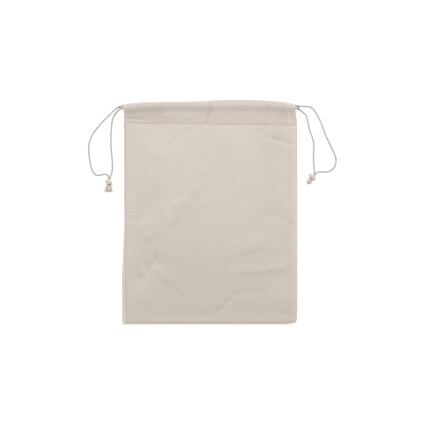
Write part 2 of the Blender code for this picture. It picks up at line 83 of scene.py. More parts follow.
SIDE_SHIFT = 0.00145 * BAG_WIDTH
BOTTOM_Y = -BAG_HEIGHT / 2
EDGE_LEVEL = 0.00105
SEAM_TOP = CLOTH + GAP + SEAM_THICKNESS
SEAM_LEVEL = SEAM_TOP + GAP + CLOTH
FLAT_CASING = 2 * CLOTH + GAP
ROUND_CASING = 2 * CLOTH + CORD_DIAMETER + 2 * GAP
FIRST_TRACK = ROUND_CASING / 2
SECOND_TRACK = FIRST_TRACK + CORD_DIAMETER + CORD_SPACING
OPEN_LEVEL = ROUND_CASING + MOUTH_GAP
BESIDE = (CORD_DIAMETER + GAP) / 2
CORD_STEP = 0.0006
EDGE_TURNS = 5

# Folds of the front: how far they keep from its edges and over what lengths they rise
FOLD_MARGIN = 0.002
SIDE_EASE = 0.006
BOTTOM_EASE = 0.010
HEM_EASE = 0.012

# How far a fold wanders, how uneven it is, the share of its length over which it ends, and a wide width
FOLD_WANDER = 0.0020
FOLD_UNEVEN = 0.45
FOLD_END = 0.22
WIDE_FOLD = 0.008

# Heights of the cloth's soft waves, from the broadest to the finest, and of its sharper ridges
BROAD_WAVES = 0.00022
MIDDLE_WAVES = 0.00012
FINE_WAVES = 0.00003
RIDGE_WAVES = 0.00010
HEM_WAVES = 0.00020

# Small tugs of the seams along the side edges
TUG_HEIGHT = 0.00016
TUG_STEP = 0.0011
TUG_SWAY = 3.0
TUG_REACH = 0.006
TUG_FADE = 0.010

# Marks of the hem: its stitched groove, the ridges over its cords, its gathers, and the painted shade on the
# back hem's rim that the front hem overhangs
GROOVE_DEPTH = 0.0001
FRONT_GROOVE = 0.0024
HEM_GROOVE = 0.0026
CORD_RIDGE = 0.00018
FIRST_RIDGE = 0.0012
SECOND_RIDGE = 0.0014
PUCKER_LEAN = 0.0025
PUCKER_REACH = 0.020
MOUTH_RIM = 0.0034
MOUTH_RIM_WIDTH = 0.0030
MOUTH_SHADE = 0.74

# Rim of the back panel: steps inwards from its edge, how far it rounds down, and how far its face sinks
BACK_RIM = (0.0, 0.0004, 0.0010, 0.0018, 0.0028)
BACK_RIM_DROP = 0.00055
BACK_SINK = 0.00015

# Stitch rows: distance from the side edges as a share, rise over the stitched line, lift and slant
STITCH_INSET = 0.006
STITCH_RISE = 0.0016
FRONT_THREAD_LIFT = 0.00005
BACK_THREAD_LIFT = 0.00003
STITCH_SLANT = 0.06

# Distances from a side edge at which the seam line starts, is full, begins to fade and ends
RIGHT_SEAM_LINE = (0.0090, 0.0110, 0.0150, 0.0170)
LEFT_SEAM_LINE = (0.0012, 0.0022, 0.0036, 0.0048)

# The paler strip inside the right edge: where it begins to fade and ends, and its tone
RIGHT_RIM = (0.0030, 0.0120)
RIGHT_RIM_TONE = 1.06

# Tones of the cotton
TONE_SPREAD = 0.012
WARM_TINT = (0.97, 0.90, 0.80, 1.0)
SPECK_COLOUR = (0.30, 0.22, 0.15, 1.0)
# Painted shade in the gaps between the woven threads: its colour and how much of it is mixed in
GAP_SHADE_COLOUR = (0.35, 0.30, 0.25, 1.0)
GAP_SHADE = 0.07

# Camera, light and floor
CAMERA_PLACE = (0.0058, -0.0004)
CAMERA_LENS = 135.0
CAMERA_SENSOR = 36.0
KEY_PLACE = (0.0, 1.45, 1.50)
KEY_SIZE = (1.6, 0.7)
FLOOR_REACH = 6.0
FLOOR_LEVEL = -0.0002
FLOOR_TONE = 0.15
FLOOR_GLOW = 0.87

# Share of the bag's height, then how far each edge lies inside the bag's width, as shares of that width
FRONT_EDGES = (
    (0.000, 0.026, 0.011),
    (0.020, 0.021, 0.001),
    (0.060, 0.020, -0.002),
    (0.500, 0.020, -0.002),
    (0.860, 0.019, -0.001),
    (0.915, 0.017, 0.002),
    (0.940, 0.015, 0.009),
    (0.965, 0.007, 0.011),
    (1.000, -0.003, 0.002),
)
BACK_EDGES = (
    (0.000, 0.004, 0.013),
    (0.018, 0.000, 0.003),
    (0.220, 0.000, -0.002),
    (0.330, 0.006, -0.001),
    (0.450, 0.013, -0.001),
    (0.560, 0.011, -0.001),
    (0.860, 0.010, -0.001),
    (0.915, 0.013, 0.002),
    (0.940, 0.013, 0.009),
    (0.965, 0.007, 0.011),
    (1.000, -0.003, 0.002),
)

# Share of the way across, then how far the front top, the back top and the stitched line lie down the hem
HEM_LINES = (
    (0.000, 0.200, 0.205, 1.02),
    (0.060, 0.140, 0.150, 1.03),
    (0.130, 0.098, 0.110, 1.05),
    (0.330, 0.085, 0.085, 1.08),
    (0.450, 0.090, 0.045, 1.09),
    (0.560, 0.085, 0.005, 1.10),
    (0.740, 0.080, 0.000, 1.115),
    (0.860, 0.098, 0.035, 1.12),
    (0.950, 0.136, 0.100, 1.125),
    (1.000, 0.190, 0.190, 1.13),
)

# Share of the way across, then how far the mouth stands open
MOUTH_OPENING = (
    (0.000, 0.000),
    (0.050, 0.000),
    (0.140, 0.180),
    (0.240, 0.700),
    (0.330, 1.000),
    (0.800, 1.000),
    (0.860, 0.800),
    (0.920, 0.300),
    (0.965, 0.000),
    (1.000, 0.000),
)

# Gathers of the front hem: x, depth and half width
PUCKERS = (
    (-0.0004, 0.0034, 0.0024),
    (-0.0085, -0.0012, 0.0036),
    (0.0085, -0.0010, 0.0036),
    (0.1035, 0.0022, 0.0026),
    (0.0950, -0.0006, 0.0050),
    (-0.0960, 0.0006, 0.0035),
    (0.0400, 0.0004, 0.0060),
    (-0.0450, 0.0004, 0.0070),
)

# Folds of the front hem, as FOLDS below
HEM_FOLDS = (
    (-0.1480, 0.1668, -0.1180, 0.1640, -0.0007, 0.0018, 0.0022),
    (0.0280, 0.1669, 0.0530, 0.1540, 0.0006, 0.0030, 0.0020),
    (0.0900, 0.1700, 0.1350, 0.1560, -0.0005, 0.0040, 0.0030),
    (-0.0880, 0.1700, -0.0200, 0.1680, 0.0004, 0.0050, 0.0040),
)

# Folds of the front: start x and y, end x and y, height (below 0 for a valley), width above and width below
FOLDS = (
    (0.0880, 0.1450, 0.1080, 0.1310, -0.0006, 0.0040, 0.0060),
    (0.1080, 0.1310, 0.1560, 0.1210, -0.0009, 0.0045, 0.0060),
    (-0.0307, 0.1482, -0.0877, 0.1055, -0.0005, 0.0060, 0.0080),
    (-0.0050, 0.0780, -0.0410, 0.0200, 0.0014, 0.0170, 0.0110),
    (-0.0410, 0.0200, -0.0770, -0.0150, 0.0020, 0.0190, 0.0120),
    (-0.0770, -0.0150, -0.1250, -0.0450, 0.0018, 0.0190, 0.0160),
    (0.0814, -0.0120, 0.1046, 0.0004, -0.0006, 0.0060, 0.0120),
    (0.1046, 0.0004, 0.1259, -0.0102, -0.0009, 0.0060, 0.0120),
    (0.1259, -0.0102, 0.1500, -0.0260, -0.0009, 0.0050, 0.0120),
    (0.0280, -0.0797, 0.0672, -0.0619, 0.0007, 0.0200, 0.0070),
    (0.0672, -0.0619, 0.0957, -0.0565, 0.0009, 0.0220, 0.0080),
    (0.0957, -0.0565, 0.1260, -0.0636, 0.0008, 0.0220, 0.0090),
    (-0.1490, -0.0916, 0.1500, -0.0916, -0.0001, 0.0016, 0.0030),
    (0.0423, -0.1081, 0.0992, -0.1028, 0.0009, 0.0140, 0.0065),
    (0.0992, -0.1028, 0.1526, -0.0984, 0.0011, 0.0140, 0.0065),
    (-0.0894, -0.0797, -0.1393, -0.1259, -0.0026, 0.0140, 0.0150),
    (-0.1055, -0.1028, -0.0378, -0.1402, 0.0010, 0.0100, 0.0060),
    (0.0049, -0.1880, 0.0458, -0.1482, -0.0009, 0.0045, 0.0060),
    (0.0458, -0.1482, 0.0636, -0.1437, -0.0006, 0.0045, 0.0060),
    (0.0636, -0.1437, 0.0950, -0.1385, -0.0005, 0.0045, 0.0070),
    (-0.1050, -0.1850, -0.0790, -0.1880, -0.0005, 0.0070, 0.0060),
    (-0.0350, -0.1860, 0.0000, -0.1850, -0.0006, 0.0070, 0.0060),
    (0.1200, -0.1780, 0.1450, -0.1850, -0.0006, 0.0070, 0.0060),
    (-0.1480, 0.0480, -0.1270, 0.0400, -0.0010, 0.0120, 0.0140),
    (-0.1480, -0.0120, -0.1270, -0.0150, -0.0006, 0.0060, 0.0060),
    (-0.1480, 0.0950, -0.1300, 0.0800, -0.0006, 0.0120, 0.0120),
)

# Where each knot starts, the way it points from there in degrees from +X, its length as a share of a knot's,
# how far its turns and its frayed ends reach to each side, and how far they lean across
KNOTS = {
    "left": ((-0.1780, 0.0590), -91.0, 1.00, 0.0050, 0.0072, -0.0006),
    "right": ((0.1870, 0.0665), -117.0, 0.82, 0.0060, 0.0038, -0.0026),
}

# The two cords through a knot: how far along, how far from the middle, share of the lean, and height
KNOT_CORES = (
    (0.0000, BESIDE, 0.0, 0.0015),
    (0.0015, BESIDE, 0.0, 0.0024),
    (0.0035, BESIDE, 0.0, 0.0040),
    (0.0065, BESIDE, 0.5, 0.0045),
    (0.0095, 0.0018, 1.0, 0.0036),
    (0.0120, 0.0026, 1.0, 0.0023),
    (0.0150, 0.0034, 1.0, 0.0019),
)

# The turns drawn tight round them
WRAPS = 2
WRAP_STEPS = 30
WRAP_START = 0.0036
WRAP_SPACING = 0.0032
WRAP_FIRST_ANGLE = 215.0
WRAP_SWEEP = 500.0
WRAP_TUCK = 0.35
WRAP_TUCK_SHARE = 0.14
WRAP_DRIFT = 0.0010
WRAP_SLANT = 0.0019
WRAP_LEVEL = 0.0045
WRAP_RISE = 0.0030

# The frayed ends: where they start and end, how ragged they are, their reach at the root, and their heights
FRAY_START = 0.0088
FRAY_START_SPREAD = 0.0020
FRAY_END = 0.0232
FRAY_ROUND = 0.0022
FRAY_RAGGED = 0.0012
FRAY_FIBRE_PAST = 0.0010
FRAY_ROOT_REACH = 0.0036
FRAY_STRAY = 0.0005
FRAY_ROOT_LEVEL = 0.0010
FRAY_ROOT_RISE = 0.0044
FRAY_TIP_LEVEL = 0.0008
FRAY_TIP_RISE = 0.0020
# Painted light: the frayed ends are coloured paler still than the knot, to offset the shade among their
# fibres
FRAY_PAINTED_PALER = 1.15
FIBRE_WIDTH = 0.32
YARN_THICKNESS = 0.00075
YARN_BEND = 0.5

# The free strands, from the point after the casing to the last point before the knot
STRAND_ROUTES = {
    "left_back_strand": (
        (-0.1625, 0.1872, 0.0024),
        (-0.1705, 0.1809, 0.0015),
        (-0.1795, 0.1717, 0.0015),
        (-0.1914, 0.1598, 0.0015),
        (-0.2021, 0.1468, 0.0015),
        (-0.2098, 0.1354, 0.0015),
        (-0.2140, 0.1217, 0.0015),
        (-0.2145, 0.1085, 0.0015),
        (-0.2128, 0.0930, 0.0015),
        (-0.2095, 0.0785, 0.0015),
        (-0.2034, 0.0680, 0.0015),
        (-0.1958, 0.0662, 0.0015),
        (-0.1868, 0.0680, 0.0015),
        (-0.1822, 0.0668, 0.0015),
    ),
    "left_front_strand": (
        (-0.1616, 0.1810, 0.0072),
        (-0.1662, 0.1765, 0.0042),
        (-0.1702, 0.1706, 0.0017),
        (-0.1730, 0.1610, 0.0015),
        (-0.1745, 0.1468, 0.0015),
        (-0.1752, 0.1313, 0.0015),
        (-0.1750, 0.1181, 0.0015),
        (-0.1740, 0.1049, 0.0015),
        (-0.1727, 0.0919, 0.0015),
        (-0.1723, 0.0805, 0.0015),
        (-0.1737, 0.0700, 0.0015),
    ),
    "right_front_strand": (
        (0.1660, 0.1884, 0.0072),
        (0.1712, 0.1886, 0.0040),
        (0.1765, 0.1884, 0.0017),
        (0.1822, 0.1864, 0.0015),
        (0.1879, 0.1805, 0.0015),
        (0.1975, 0.1633, 0.0015),
        (0.2069, 0.1384, 0.0015),
        (0.2153, 0.1204, 0.0015),
        (0.2231, 0.1039, 0.0015),
        (0.2258, 0.0912, 0.0015),
        (0.2213, 0.0785, 0.0015),
        (0.2107, 0.0724, 0.0015),
        (0.1985, 0.0722, 0.0015),
        (0.1938, 0.0715, 0.0015),
    ),
    "right_back_strand": (
        (0.1625, 0.1812, 0.0024),
        (0.1676, 0.1777, 0.0015),
        (0.1722, 0.1725, 0.0015),
        (0.1752, 0.1633, 0.0015),
        (0.1785, 0.1478, 0.0015),
        (0.1846, 0.1300, 0.0015),
        (0.1861, 0.1181, 0.0015),
        (0.1857, 0.1014, 0.0015),
        (0.1861, 0.0836, 0.0015),
        (0.1872, 0.0745, 0.0015),
    ),
}
STRAND_STARTS = {
    "left_back_strand": (2, 0.0, FIRST_TRACK),
    "left_front_strand": (1, 0.0, SECOND_TRACK),
    "right_front_strand": (1, 1.0, FIRST_TRACK),
    "right_back_strand": (2, 1.0, SECOND_TRACK),
}


# Shape of the cloth


def column(table, share, index):
    """One column of a table at shares along its first column."""
    return np.interp(share, [row[0] for row in table], [row[index] for row in table])


def smooth_column(table, share, index, reach=0.06):
    """One column of a table with its corners rounded off."""
    share = np.asarray(share, dtype=float)
    near = np.clip(np.minimum(share, 1.0 - share), 0.0, reach)
    total = 0.0
    for step in np.linspace(-1.0, 1.0, 9):
        total = total + column(table, share + near * step, index)
    return total / 9


def eased(value):
    """Goes from 0 to 1 with level ends."""
    value = np.clip(value, 0.0, 1.0)
    return value * value * (3.0 - 2.0 * value)


def mix(first, second, share):
    """A value at a share of the way from the first one to the second."""
    return first + (second - first) * share


def edge_x(table, y, side):
    """x of a panel's left (-1) or right (+1) edge at one height on the bag."""
    inset = column(table, (y - BOTTOM_Y) / BAG_HEIGHT, 1 if side < 0 else 2) * BAG_WIDTH
    return SIDE_SHIFT + side * (BAG_WIDTH / 2 - inset)


def across_x(table, y, share):
    """x at a share of the way from the left edge to the right one."""
    return mix(edge_x(table, y, -1), edge_x(table, y, 1), share)


def hem_y(share, index):
    """y of the front top (1), the back top (2) or the stitched line (3)."""
    return BAG_HEIGHT / 2 - smooth_column(HEM_LINES, share, index) * HEM_DEPTH


def fold_share(depth):
    """1 where the casing stands round over the cords, falling to 0 where its two walls lie flat."""
    return 1.0 - eased((depth - HEM_CREST) / HEM_SLOPE)


def casing_base(share, depth):
    """Lowest face of the front casing: on the back casing at the corners, lifted along the open mouth."""
    behind = hem_y(share, 2) - hem_y(share, 1)
    over_fold = 1.0 - eased((depth + np.minimum(behind, 0.0) - HEM_CREST) / CORNER_SLOPE)
    over_back = mix(FLAT_CASING, ROUND_CASING, over_fold) + GAP
    return mix(over_back, OPEN_LEVEL, eased(smooth_column(MOUTH_OPENING, share, 1, 0.03)))


def pucker(x, y, below):
    """Dip of the gathers. below is how far down the hem a point lies, as a share of the hem's depth."""
    total = 0.0
    for place, depth, width in PUCKERS:
        lean = place + PUCKER_LEAN * np.sin(below * 4.0 + place * 50.0)
        total = total - depth * np.exp(-(((x - lean) / width) ** 2))
    return total * eased(below * 6.0 + 0.15) * (1.0 - 0.75 * eased((below - 0.35) / 0.8))


def waves(x, y, size, seed, count=9, stretch=1.0):
    """A smooth random field of about -1 to 1, made of plane waves about one size long."""
    random = np.random.default_rng(seed)
    total = np.zeros(np.broadcast(x, y).shape)
    for _ in range(count):
        angle = random.uniform(0.0, math.pi)
        length = size * random.uniform(0.6, 1.7)
        phase = random.uniform(0.0, 2.0 * math.pi)
        total += np.sin(2 * math.pi * (x * math.cos(angle) * stretch + y * math.sin(angle)) / length + phase)
    return total / math.sqrt(count * 2)


def fold_relief(folds, x, y):
    """Height of a table's folds at points of the front."""
    total = np.zeros(np.broadcast(x, y).shape)
    wander = FOLD_WANDER * waves(x, y, 0.060, 5)
    uneven = 1.0 + FOLD_UNEVEN * waves(x, y, 0.028, 6)
    for x_1, y_1, x_2, y_2, height, above, below in folds:
        run_x = x_2 - x_1
        run_y = y_2 - y_1
        length = math.hypot(run_x, run_y)
        along = ((x - x_1) * run_x + (y - y_1) * run_y) / length**2
        side = 1.0 if run_x > 0 else -1.0
        aside = ((y - y_1) * run_x - (x - x_1) * run_y) / length * side
        aside = aside + wander * min(1.0, above / WIDE_FOLD)
        fade = eased((along + FOLD_END) / (2 * FOLD_END)) * eased((1.0 + FOLD_END - along) / (2 * FOLD_END))
        width = np.where(aside > 0, above, below)
        total += height * uneven * fade * np.exp(-((aside / width) ** 2))
    return total


def crumple(x, y):
    """Soft irregular waves of the cloth, without the named folds."""
    broad = waves(x, y, 0.110, 11)
    middle = waves(x + 0.004 * waves(x, y, 0.05, 12), y, 0.048, 13)
    fine = waves(x, y, 0.017, 14)
    ridges = 0.5 - np.abs(waves(x, y, 0.085, 15))
    return BROAD_WAVES * broad + MIDDLE_WAVES * middle + FINE_WAVES * fine + RIDGE_WAVES * ridges


def front_bottom(share):
    """y of the front panel's lower edge, which lies a little above the back's."""
    return BOTTOM_Y + (0.009 + 0.006 * eased((share - 0.93) / 0.07)) * BAG_HEIGHT


def back_bottom(share):
    """y of the back panel's lower edge."""
    return BOTTOM_Y + 0.006 * eased((share - 0.95) / 0.05) * BAG_HEIGHT


def front_level(x, y, share):
    """Height of the front's outer face, before its edges roll down."""
    inside = np.minimum(x - edge_x(FRONT_EDGES, y, -1), edge_x(FRONT_EDGES, y, 1) - x)
    past_sides = inside - EDGE_ROLL - SEAM_WIDTH
    past_bottom = y - front_bottom(share) - EDGE_ROLL - SEAM_WIDTH
    rise = eased(past_sides / EDGE_RISE) * eased(past_bottom / BOTTOM_RISE)
    body = SEAM_LEVEL + (BAG_LOFT - SEAM_LEVEL) * rise
    body = body - BOTTOM_DROP * (1.0 - eased((y - front_bottom(share)) / BOTTOM_DROP_REACH))
    top = hem_y(share, 1)
    stitched = hem_y(share, 3)
    hem_level = casing_base(share, top - stitched) + FLAT_CASING
    below = stitched - y
    level = mix(body, hem_level, eased(1.0 - below / HEM_BLEND))
    down = (top - y) / HEM_DEPTH
    level = level + pucker(x, y, down) * np.exp(-np.maximum(below, 0.0) / PUCKER_REACH)
    clear = eased((inside - EDGE_ROLL) / SIDE_EASE)
    clear = clear * eased((y - front_bottom(share) - FOLD_MARGIN) / BOTTOM_EASE)
    clear = clear * eased((below - FOLD_MARGIN) / HEM_EASE)
    groove = GROOVE_DEPTH * np.exp(-((below / FRONT_GROOVE) ** 2))
    tug = TUG_HEIGHT * np.sin(y / TUG_STEP + TUG_SWAY * waves(x, y, 0.05, 31))
    tug = tug * np.exp(-np.maximum(inside - EDGE_ROLL, 0) / TUG_REACH)
    tug = tug * eased(inside / EDGE_ROLL) * eased(below / TUG_FADE)
    return level + (fold_relief(FOLDS, x, y) + crumple(x, y)) * clear - groove + tug


# Meshes


def add_object(name, mesh, material):
    """Links a mesh under a name, smooth, with one material, which is given by its name."""
    mesh.materials.clear()
    mesh.materials.append(bpy.data.materials[material])
    mesh.shade_smooth()
    item = bpy.data.objects.new(name, mesh)
    bpy.context.collection.objects.link(item)
    return item


def mesh_from(name, points, faces):
    """A mesh from an array of points and a list of faces."""
    mesh = bpy.data.meshes.new(name)
    mesh.from_pydata(points.tolist(), [], faces)
    mesh.update()
    return mesh


def grid_faces(rows, columns, start=0, flip=False):
    """Quads of a grid of points that are numbered row by row."""
    index = start + np.arange(rows * columns).reshape(rows, columns)
    corners = (index[:-1, :-1], index[:-1, 1:], index[1:, 1:], index[1:, :-1])
    quads = np.stack(corners, axis=-1).reshape(-1, 4)
    return quads[:, ::-1].tolist() if flip else quads.tolist()


def signed_volume(points, faces):
    """Volume inside closed faces, below 0 where they face inwards."""
    quads = np.array(faces)
    a, b, c, d = (points[quads[:, i]] for i in range(4))
    first = np.einsum("ij,ij->i", a, np.cross(b, c))
    second = np.einsum("ij,ij->i", a, np.cross(c, d))
    return float(first.sum() + second.sum()) / 6


def wall(name, outer, inner, material, attributes=()):
    """A closed cloth wall between two grids of points with the same rows and columns."""
    rows, columns, _ = outer.shape
    count = rows * columns
    points = np.concatenate((outer.reshape(-1, 3), inner.reshape(-1, 3)))
    faces = grid_faces(rows, columns) + grid_faces(rows, columns, count, flip=True)
    index = np.arange(count).reshape(rows, columns)
    border = np.concatenate((index[0], index[1:, -1], index[-1, -2::-1], index[-2:0:-1, 0]))
    after = np.roll(border, -1)
    faces += np.stack((border, border + count, after + count, after), axis=-1).tolist()
    if signed_volume(points, faces) < 0:
        faces = [face[::-1] for face in faces]
    mesh = mesh_from(name, points, faces)
    for label, values in attributes:
        layer = mesh.attributes.new(label, "FLOAT", "POINT")
        flat = np.asarray(values, dtype=np.float32).reshape(-1)
        layer.data.foreach_set("value", np.concatenate((flat, flat)))
    mesh.set_sharp_from_angle(angle=math.radians(60))
    return add_object(name, mesh, material)


def front_shares(count):
    """Even shares across the bag between the rolls of its side edges."""
    roll = SIDE_ROLL / BAG_WIDTH
    return np.linspace(roll, 1.0 - roll, count)


def front_grid(layer, across, upward, turns):
    """Points of the front panel's outer (0) or inner (1) face."""
    angles = np.radians(np.linspace(0.0, 90.0, turns + 1)[:-1])
    shares = front_shares(across)
    share = np.concatenate((np.zeros(turns), shares, np.ones(turns)))
    side_turn = np.concatenate((angles, np.full(across, math.pi / 2), angles[::-1]))
    side = np.concatenate((np.ones(turns), np.zeros(across), -np.ones(turns)))
    up = np.concatenate((np.zeros(turns), np.linspace(0.0, 1.0, upward)))
    up_turn = np.concatenate((angles, np.full(upward, math.pi / 2)))
    up, share = np.meshgrid(up, share, indexing="ij")
    up_turn, side_turn = np.meshgrid(up_turn, side_turn, indexing="ij")
    side = np.broadcast_to(side, share.shape)
    cloth = THIN_CLOTH * layer
    bottom = front_bottom(share)
    stitched = hem_y(share, 3) - GAP / 4
    reach = cloth + (BOTTOM_ROLL - cloth) * (1.0 - np.cos(up_turn))
    rolling = up_turn < math.pi / 2 - 1e-6
    y = np.where(rolling, bottom + reach, mix(bottom + BOTTOM_ROLL, stitched, up))
    rolled = eased((stitched - y - HEM_OVERLAP) / (2 * HEM_OVERLAP))
    inset = cloth * rolled
    inset = inset + (SIDE_ROLL - inset) * (1.0 - np.cos(side_turn))
    x = across_x(FRONT_EDGES, y, share) + side * inset
    level = front_level(x, y, share) - cloth
    height = np.sin(up_turn) * mix(1.0, np.sin(side_turn), rolled)
    return np.stack((x, y, mix(EDGE_LEVEL, level, height)), axis=-1)


def side_distance(points):
    """Distance of grid points from the nearer side edge of the front, right sides as below 0."""
    left = points[..., 0] - edge_x(FRONT_EDGES, points[..., 1], -1)
    right = edge_x(FRONT_EDGES, points[..., 1], 1) - points[..., 0]
    return np.where(left < right, left, -right)


def casing_grid(layer, across):
    """Outer and inner points of a hem: up its upper wall, round the fold and down its lower wall."""
    shares = np.concatenate(([0.0], front_shares(across), [1.0]))
    top = hem_y(shares, layer)
    stitched = hem_y(shares, 3) + GAP / 4
    depth = top - stitched
    table = FRONT_EDGES if layer == 1 else BACK_EDGES
    radius = ROUND_CASING / 2
    downs = np.concatenate((np.linspace(1.0, 0.36, 17), np.linspace(0.36, 0.075, 17)[1:-1]))
    outer = []
    inner = []

    def section(down):
        """Depth below the top, lowest level and casing height at a share of the way down."""
        deep = down * (depth - radius) + radius
        base = casing_base(shares, deep) if layer == 1 else np.zeros_like(shares)
        bulge = HEM_BULGE * eased((deep - radius) / 0.0040) if layer == 1 else 0.0
        height = mix(FLAT_CASING + HEM_LIFT * (1.0 - down) ** 1.3, ROUND_CASING + bulge, fold_share(deep))
        x = across_x(table, top - deep, shares)
        if layer == 1:
            base = base + pucker(x, top - deep, deep / HEM_DEPTH)
            first = np.exp(-(((deep - FIRST_TRACK) / FIRST_RIDGE) ** 2))
            second = np.exp(-(((deep - SECOND_TRACK) / SECOND_RIDGE) ** 2))
            height = height + CORD_RIDGE * (first + second)
            height = height + HEM_WAVES * waves(x, top - deep, 0.030, 21) * down * (1.0 - down) * 4
            flat = 1.0 - fold_share(deep)
            height = height + fold_relief(HEM_FOLDS, x, top - deep) * flat
            height = height - GROOVE_DEPTH * np.exp(-(((depth - deep) / HEM_GROOVE) ** 2))
        return deep, base, np.maximum(height, FLAT_CASING * 0.6), x

    for down in downs:
        deep, base, height, x = section(down)
        outer.append(np.stack((x, top - deep, base + height), axis=-1))
        inner.append(np.stack((x, top - deep, base + height - CLOTH), axis=-1))
    _, base, height, x = section(0.0)
    crown = base + height - ROUND_CASING
    for angle in np.radians(np.linspace(90.0, -90.0, 15)):
        share_down = (1.0 - math.sin(angle)) / 2
        middle = mix(crown, base, share_down) + radius
        for grid, size in ((outer, radius), (inner, radius - CLOTH)):
            y = top - radius + size * math.cos(angle)
            grid.append(np.stack((across_x(table, y, shares), y, middle + size * math.sin(angle)), axis=-1))
    for down in (0.08, 0.16, 0.24, 0.32, 0.40, 0.60, 0.80, 1.0):
        deep, base, _, x = section(down)
        outer.append(np.stack((x, top - deep, base), axis=-1))
        inner.append(np.stack((x, top - deep, base + CLOTH), axis=-1))
    end_y = stitched - HEM_OVERLAP
    end_x = across_x(table, end_y, shares)
    if layer == 1:
        under = front_level(end_x, end_y, shares) - FLAT_CASING
        outer.append(np.stack((end_x, end_y, under), axis=-1))
        inner.append(np.stack((end_x, end_y, under + CLOTH), axis=-1))
    else:
        level = np.full_like(shares, FLAT_CASING)
        outer.insert(0, np.stack((end_x, end_y, level), axis=-1))
        inner.insert(0, np.stack((end_x, end_y, level - CLOTH), axis=-1))
    return np.stack(outer, axis=1), np.stack(inner, axis=1)


# Cords


def smooth_route(points, step):
    """Points at even steps along a smooth curve through a route's own points."""
    route = np.array(points, dtype=float)
    guide = np.vstack((2 * route[0] - route[1], route, 2 * route[-1] - route[-2]))
    share = np.linspace(0.0, 1.0, 24, endpoint=False)[:, None]
    dense = []
    for index in range(1, len(guide) - 2):
        before, start, end, after = guide[index - 1 : index + 3]
        bend = (2 * before - 5 * start + 4 * end - after) * share**2
        turn = (3 * start - before - 3 * end + after) * share**3
        dense.append(0.5 * (2 * start + (end - before) * share + bend + turn))
    dense.append(route[-1:])
    dense = np.vstack(dense)
    along = np.concatenate(([0.0], np.cumsum(np.linalg.norm(np.diff(dense, axis=0), axis=1))))
    even = np.linspace(0.0, along[-1], max(2, round(along[-1] / step) + 1))
    return np.stack([np.interp(even, along, dense[:, axis]) for axis in range(3)], axis=1)


def twisted_cord(points, diameter, lay, plies=3, sides=18, turn=0.0, groove=0.16, taper=None):
    """Points, faces and UVs of a cord of twisted plies along a route. lay is the length of one twist."""
    points = np.asarray(points)
    forward = np.gradient(points, axis=0)
    forward /= np.linalg.norm(forward, axis=1, keepdims=True)
    aside = np.cross(forward, (0.0, 0.0, 1.0))
    steep = np.linalg.norm(aside, axis=1) < 0.2
    aside[steep] = np.cross(forward[steep], (0.0, 1.0, 0.0))
    for index in range(1, len(aside)):
        carried = aside[index - 1] - forward[index] * (aside[index - 1] @ forward[index])
        aside[index] = carried / np.linalg.norm(carried)
    aside[0] /= np.linalg.norm(aside[0])
    upward = np.cross(aside, forward)
    along = np.concatenate(([0.0], np.cumsum(np.linalg.norm(np.diff(points, axis=0), axis=1))))
    around = 2 * math.pi * np.arange(sides) / sides
    twist = 2 * math.pi * along / lay + turn
    angle = around[None, :] + twist[:, None]
    lobes = np.abs(np.cos(plies * around / 2))[None, :]
    radius = diameter / 2 * (1.0 - groove * (1.0 - lobes) ** 1.3)
    if taper is not None:
        radius = radius * np.asarray(taper)[:, None]
    radius = np.broadcast_to(radius, angle.shape)
    ring = points[:, None, :] + radius[..., None] * (
        np.cos(angle)[..., None] * aside[:, None, :] + np.sin(angle)[..., None] * upward[:, None, :]
    )
    rows = len(points)
    index = np.arange(rows * sides).reshape(rows, sides)
    right = np.roll(index, -1, axis=1)
    quads = np.stack((index[:-1], right[:-1], right[1:], index[1:]), axis=-1).reshape(-1, 4).tolist()
    start = rows * sides
    vertices = np.vstack((ring.reshape(-1, 3), points[:1], points[-1:]))
    caps = [[start, int(right[0, step]), int(index[0, step])] for step in range(sides)]
    caps += [[start + 1, int(index[-1, step]), int(right[-1, step])] for step in range(sides)]
    round_share = np.broadcast_to(np.arange(sides) / sides, (rows, sides))
    turns = np.broadcast_to(along[:, None] / lay, (rows, sides))
    uv = np.stack((round_share, turns), axis=-1).reshape(-1, 2)
    uv = np.vstack((uv, (0.5, 0.0), (0.5, along[-1] / lay)))
    return vertices, quads + caps, uv


def cord_mesh(name, parts):
    """One mesh from several cords."""
    vertices = []
    faces = []
    uvs = []
    start = 0
    for points, own_faces, uv in parts:
        vertices.append(points)
        uvs.append(uv)
        faces += [[corner + start for corner in face] for face in own_faces]
        start += len(points)
    mesh = mesh_from(name, np.vstack(vertices), faces)
    layer = mesh.uv_layers.new(name="Along cord")
    corners = np.empty(len(mesh.loops), dtype=np.int64)
    mesh.loops.foreach_get("vertex_index", corners)
    layer.data.foreach_set("uv", np.vstack(uvs)[corners].astype(np.float32).reshape(-1))
    return mesh


def track_point(layer, track, share):
    """Middle of a cord inside the front (1) or back (2) casing, at a depth below the top edge."""
    table = FRONT_EDGES if layer == 1 else BACK_EDGES
    y = float(hem_y(share, layer)) - track
    x = float(across_x(table, y, share))
    base = float(casing_base(share, track) + pucker(x, y, track / HEM_DEPTH)) if layer == 1 else 0.0
    return (x, y, base + ROUND_CASING / 2)


def held_route(far_share, front_track, back_track):
    """The stretch of a drawcord in the casings, out of one corner, round the other and back."""
    side = 1.0 if far_share > 0.5 else -1.0
    roll = EDGE_ROLL / BAG_WIDTH
    shares = np.concatenate(([0.0], np.linspace(roll, 1.0 - roll, 33), [1.0]))
    to_far = shares if far_share > 0.5 else shares[::-1]
    start = track_point(1, front_track, far_share)
    end = track_point(2, back_track, far_share)
    turn = []
    for step in range(1, 6):
        angle = math.pi * step / 6
        share = (1.0 - math.cos(angle)) / 2
        x_start = mix(start[0], end[0], share)
        reach = side * (CORD_TURN_REACH - CORD_DIAMETER / 2) - x_start
        x = x_start + reach * math.sin(angle)
        turn.append((x, mix(start[1], end[1], share), mix(start[2], end[2], share)))
    points = [track_point(1, front_track, share) for share in to_far]
    points += turn
    points += [track_point(2, back_track, share) for share in to_far[::-1]]
    return smooth_route(points, 0.0011)


